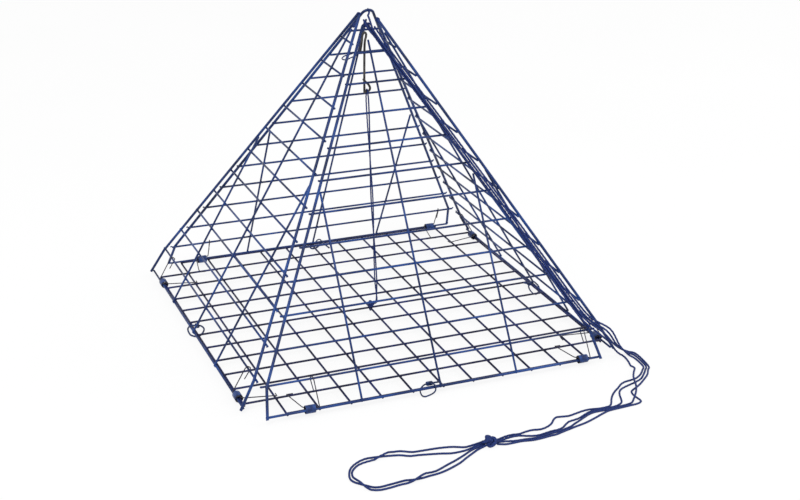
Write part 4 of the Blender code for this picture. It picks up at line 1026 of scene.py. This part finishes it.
for side in SIDES:
    edge = edge_frame(side) @ Matrix.Translation((0, 0, -EDGE_HEIGHT[side]))
    ring = smooth_route(TIE_RINGS[side], STRAP_STEP, closed=True)[:-1]
    head, tail = [Vector(place) for place in TIE_HEADS[side]]
    bm = bmesh.new()
    sweep(bm, [edge @ point for point in ring], strap_surface, STRAP_SIDES, closed=True)
    sweep(bm, [edge @ point for point in smooth_route([head, tail], TAIL_STEP)], strap_surface, STRAP_SIDES)
    box = bmesh.ops.create_cube(bm, size=1.0)
    bmesh.ops.scale(bm, vec=TIE_HEAD[side], verts=box["verts"])
    edges = list({line for vert in box["verts"] for line in vert.link_edges})
    eased = bmesh.ops.bevel(bm, geom=edges, offset=TIE_EASE, segments=2, affect="EDGES")
    bmesh.ops.transform(bm, matrix=edge @ Matrix.Translation(head), verts=eased["verts"])
    tie = finished("strap_" + side, bm, TIE_FINISH)
    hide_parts("tie_" + side)
    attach(tie, "base")

# Hook
# One piece of dark steel wire: an open hook at the top, a straight shank and a
# turned eye that the doubled cord goes through.
HOOK_WIRE = 1.9
HOOK_PLACE = (-4.1, 7.5)
HOOK_DROP = 8.5
HOOK_SHANK = 49.5
HOOK_EYE_WIDTH = 4.6
HOOK_EYE_HEIGHT = 8.0
HOOK_POINT_DROP = 15.0
HOOK_STEP = 0.8
HOOK_DARK = (0.028, 0.026, 0.026)
HOOK_GREY = (0.11, 0.105, 0.1)


def hook_steel():
    """Blackened steel wire, rubbed greyer along it."""
    made, tree, shader, place = start_material("hook_steel", 0.45, 0.6)
    tint(tree, shader, grain(tree, place, 120.0, 5.0), [(0.4, HOOK_DARK), (0.66, HOOK_GREY)])
    dull(tree, shader, place, 700.0, 0.35, 0.6)
    roughen(tree, shader, place, 1800.0, 3.0, 0.25, 0.00015)
    return made


HOOK_FINISH = hook_steel()
FRONT_RISE = PANEL_SLANT * math.sin(math.radians(PANEL_LEAN["front"]))
HOOK_TOP = EDGE_HEIGHT["front"] + HINGE_RISE + FRONT_RISE - HOOK_DROP
HOOK_EYE_BOTTOM = HOOK_TOP - HOOK_SHANK


def hook_line():
    """The hook's wire, from its point over the top, down the shank and round the eye."""
    x, y = HOOK_PLACE
    low = HOOK_EYE_BOTTOM
    top = HOOK_TOP
    front = y - HOOK_WIRE - GAP
    return [
        (x - 3.6, y, top - HOOK_POINT_DROP),
        (x - 2.4, y, top - HOOK_POINT_DROP / 2),
        (x - 2.0, y, top - 3.0),
        (x - 1.2, y, top - 0.9),
        (x + 0.2, y, top),
        (x + 1.2, y, top - 1.2),
        (x + 1.2, y, top - 3.6),
        (x, y, top - HOOK_POINT_DROP * 0.8),
        (x, y, low + HOOK_WIRE),
        (x + 0.6, y, low + 0.5),
        (x + HOOK_EYE_WIDTH / 2, y, low),
        (x + HOOK_EYE_WIDTH - 0.6, y - 0.3, low + 0.8),
        (x + HOOK_EYE_WIDTH, y - 0.9, low + HOOK_EYE_HEIGHT * 0.4),
        (x + HOOK_EYE_WIDTH * 0.6, front, low + HOOK_EYE_HEIGHT * 0.8),
        (x, front, low + HOOK_EYE_HEIGHT * 1.15),
        (x - HOOK_WIRE, front, low + HOOK_EYE_HEIGHT * 1.45),
    ]


line = [point * MM for point in smooth_route(hook_line(), HOOK_STEP)]
hook = tube("hook", line, plain_surface(HOOK_WIRE), WIRE_SIDES, HOOK_FINISH)
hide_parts("centre_hook")
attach(hook, "base")

# Centre cord
# One braided cord, doubled. It is knotted round the middle crossing of the
# base, goes up through the hook's eye and comes down again.
KNOT_HALF_HEIGHT = 2.3
KNOT_SEAT = HIGH_WIRE + GRID_CORNER + GAP + KNOT_HALF_HEIGHT
KNOT_SIDE = 2.5
CENTRE_CORD = 1.1
CENTRE_SPACING = 1.5
# Just below the hook's eye the strands stand a little apart.
EYE_SPACING = 2.1
EYE_SPREAD_FROM = 140.0
CENTRE_FOOT = 5.2
CENTRE_STEPS = 12
# How far the two strands have turned round each other at a height, in degrees.
CENTRE_TWIST = (
    (12.0, 630.0), (23.0, 540.0), (66.0, 450.0), (95.0, 360.0), (128.0, 270.0), (172.0, 180.0),
    (188.0, 175.0),
)


def twist_at(height):
    for (low, first), (high, second) in zip(CENTRE_TWIST, CENTRE_TWIST[1:]):
        if height <= high:
            break
    return math.radians(first + (second - first) * (height - low) / (high - low))


def centre_strand(way):
    """One strand of the doubled cord, from the knot's side up to the hook's eye."""
    half = way * CENTRE_SPACING / 2
    eye_half = way * EYE_SPACING / 2
    foot = Vector((CENTRE_FOOT, 0, KNOT_SEAT))
    top = Vector((HOOK_PLACE[0] + HOOK_EYE_WIDTH / 2, HOOK_PLACE[1], HOOK_EYE_BOTTOM - HOOK_WIRE / 2))
    start = KNOT_SIDE + GAP
    points = [Vector((start, -half, KNOT_SEAT)), Vector(((start + CENTRE_FOOT) / 2, -half, KNOT_SEAT))]
    lowest = CENTRE_TWIST[0][0]
    highest = CENTRE_TWIST[-1][0]
    for step in range(CENTRE_STEPS + 1):
        height = lowest + (highest - lowest) * step / CENTRE_STEPS
        middle = foot.lerp(top, (height - KNOT_SEAT) / (top.z - KNOT_SEAT))
        turn = twist_at(height)
        share = max(0.0, (height - EYE_SPREAD_FROM) / (highest - EYE_SPREAD_FROM))
        away = half + (eye_half - half) * share
        points.append(middle + away * Vector((math.cos(turn), math.sin(turn), 0)))
    points.append(top + Vector((0, way * ((HOOK_WIRE + CENTRE_CORD) / 2 + GAP), 0)))
    return points


up = centre_strand(-1)
down = centre_strand(1)
side_reach = down[-1].y - HOOK_PLACE[1]
crest = Vector((up[-1].x, HOOK_PLACE[1], HOOK_EYE_BOTTOM))
over = [
    crest + Vector((0, -side_reach * 0.7, side_reach * 0.75)),
    crest + Vector((0, 0, side_reach)),
    crest + Vector((0, side_reach * 0.7, side_reach * 0.75)),
]
route = [point * MM for point in smooth_route(up + over + down[::-1], BRAID_STEP)]
centre_cord = tube("cord_centre", route, strand_surface(CENTRE_CORD), BRAID_SIDES, CORD_FINISH, BRAID_SHARP)
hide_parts("centre_cord")
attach(centre_cord, "base")

# Centre knot
# The doubled cord's ends, tied together over the crossing, with the loop of the
# knot drawn tight under it.
CENTRE_KNOT_PLACE = Vector((-0.2, -0.4, KNOT_SEAT))
CENTRE_KNOT_REACH = 1.5
CENTRE_KNOT_TUBE = 1.0
CENTRE_KNOT_TILT = math.radians(70)


def under_crossing():
    """The line of the loop that holds the knot down, round the base's low wire."""
    reach = GRID_CORNER + GAP + CORD / 2
    low = LOW_WIRE - reach
    high = KNOT_SEAT
    middle = (low + high) / 2
    line = []
    for step in range(48):
        turn = 2 * math.pi * step / 48
        line.append(Vector((0, reach + reach * math.cos(turn), middle + (high - low) / 2 * math.sin(turn))))
    return line


bm = bmesh.new()
tilt = Matrix.Rotation(CENTRE_KNOT_TILT, 3, "X")
tied(bm, CENTRE_KNOT_PLACE, CENTRE_KNOT_REACH, CENTRE_KNOT_TUBE, CORD, tilt)
sweep(bm, [point * MM for point in under_crossing()], strand_surface(CORD), BRAID_SIDES, closed=True)
centre_knot = finished("knot_centre", bm, CORD_FINISH, BRAID_SHARP)
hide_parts("centre_knot")
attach(centre_knot, "base")

# Floor and light
# A plain pale floor and two soft lamps under an even white sky.
FLOOR_REACH = 40.0
FLOOR_WHITE = 0.85
SKY_LIGHT = 0.75
SKY_WHITE = 0.97


def seen_rays(tree):
    """1 for the rays that look at the studio: the camera's, and those from gloss or glass."""
    rays = tree.nodes.new("ShaderNodeLightPath")
    seen = rays.outputs["Is Camera Ray"]
    for kind in ("Is Glossy Ray", "Is Transmission Ray"):
        either = tree.nodes.new("ShaderNodeMath")
        either.operation = "MAXIMUM"
        tree.links.new(seen, either.inputs[0])
        tree.links.new(rays.outputs[kind], either.inputs[1])
        seen = either.outputs["Value"]
    return seen


def floor_finish():
    """Pale matt floor: the camera sees it near white, with the trap's soft shadow on it."""
    made, tree, shader, place = start_material("pale_floor", 0.9, shine=0.0)
    tint(tree, shader, grain(tree, place, 3.0, 2.0), [(0.3, (0.86, 0.86, 0.86)), (0.7, (0.9, 0.9, 0.9))])
    white = tree.nodes.new("ShaderNodeEmission")
    white.inputs["Color"].default_value = (1.0, 1.0, 1.0, 1.0)
    white.inputs["Strength"].default_value = 1.0
    blend = tree.nodes.new("ShaderNodeMixShader")
    share = remap(tree, seen_rays(tree), 0.0, 1.0, 0.0, FLOOR_WHITE)
    tree.links.new(share, blend.inputs["Fac"])
    tree.links.new(shader.outputs["BSDF"], blend.inputs[1])
    tree.links.new(white.outputs["Emission"], blend.inputs[2])
    tree.links.new(blend.outputs["Shader"], tree.nodes["Material Output"].inputs["Surface"])
    return made


bm = bmesh.new()
bmesh.ops.create_grid(bm, x_segments=1, y_segments=1, size=FLOOR_REACH / 2)
floor = finished("floor", bm, floor_finish())

world = bpy.data.worlds.new("studio")
world.use_nodes = True
sky = world.node_tree
backdrop = sky.nodes["Background"]
backdrop.inputs["Color"].default_value = (1.0, 1.0, 1.0, 1.0)
sky.links.new(remap(sky, seen_rays(sky), 0.0, 1.0, SKY_LIGHT, SKY_WHITE), backdrop.inputs["Strength"])
bpy.context.scene.world = world


def soft_lamp(name, place, target, size, power):
    lamp = bpy.data.lights.new(name, "AREA")
    lamp.shape = "SQUARE"
    lamp.size = size
    lamp.energy = power
    made = bpy.data.objects.new(name, lamp)
    made.location = place
    made.rotation_euler = (Vector(target) - Vector(place)).to_track_quat("-Z", "Y").to_euler()
    bpy.context.scene.collection.objects.link(made)


soft_lamp("key", (-1.2, -1.6, 2.4), (0, 0, 0.1), 1.6, 40.0)
soft_lamp("fill", (1.8, -0.6, 1.6), (0, 0, 0.1), 1.6, 15.0)
bpy.context.scene.view_settings.view_transform = "Standard"
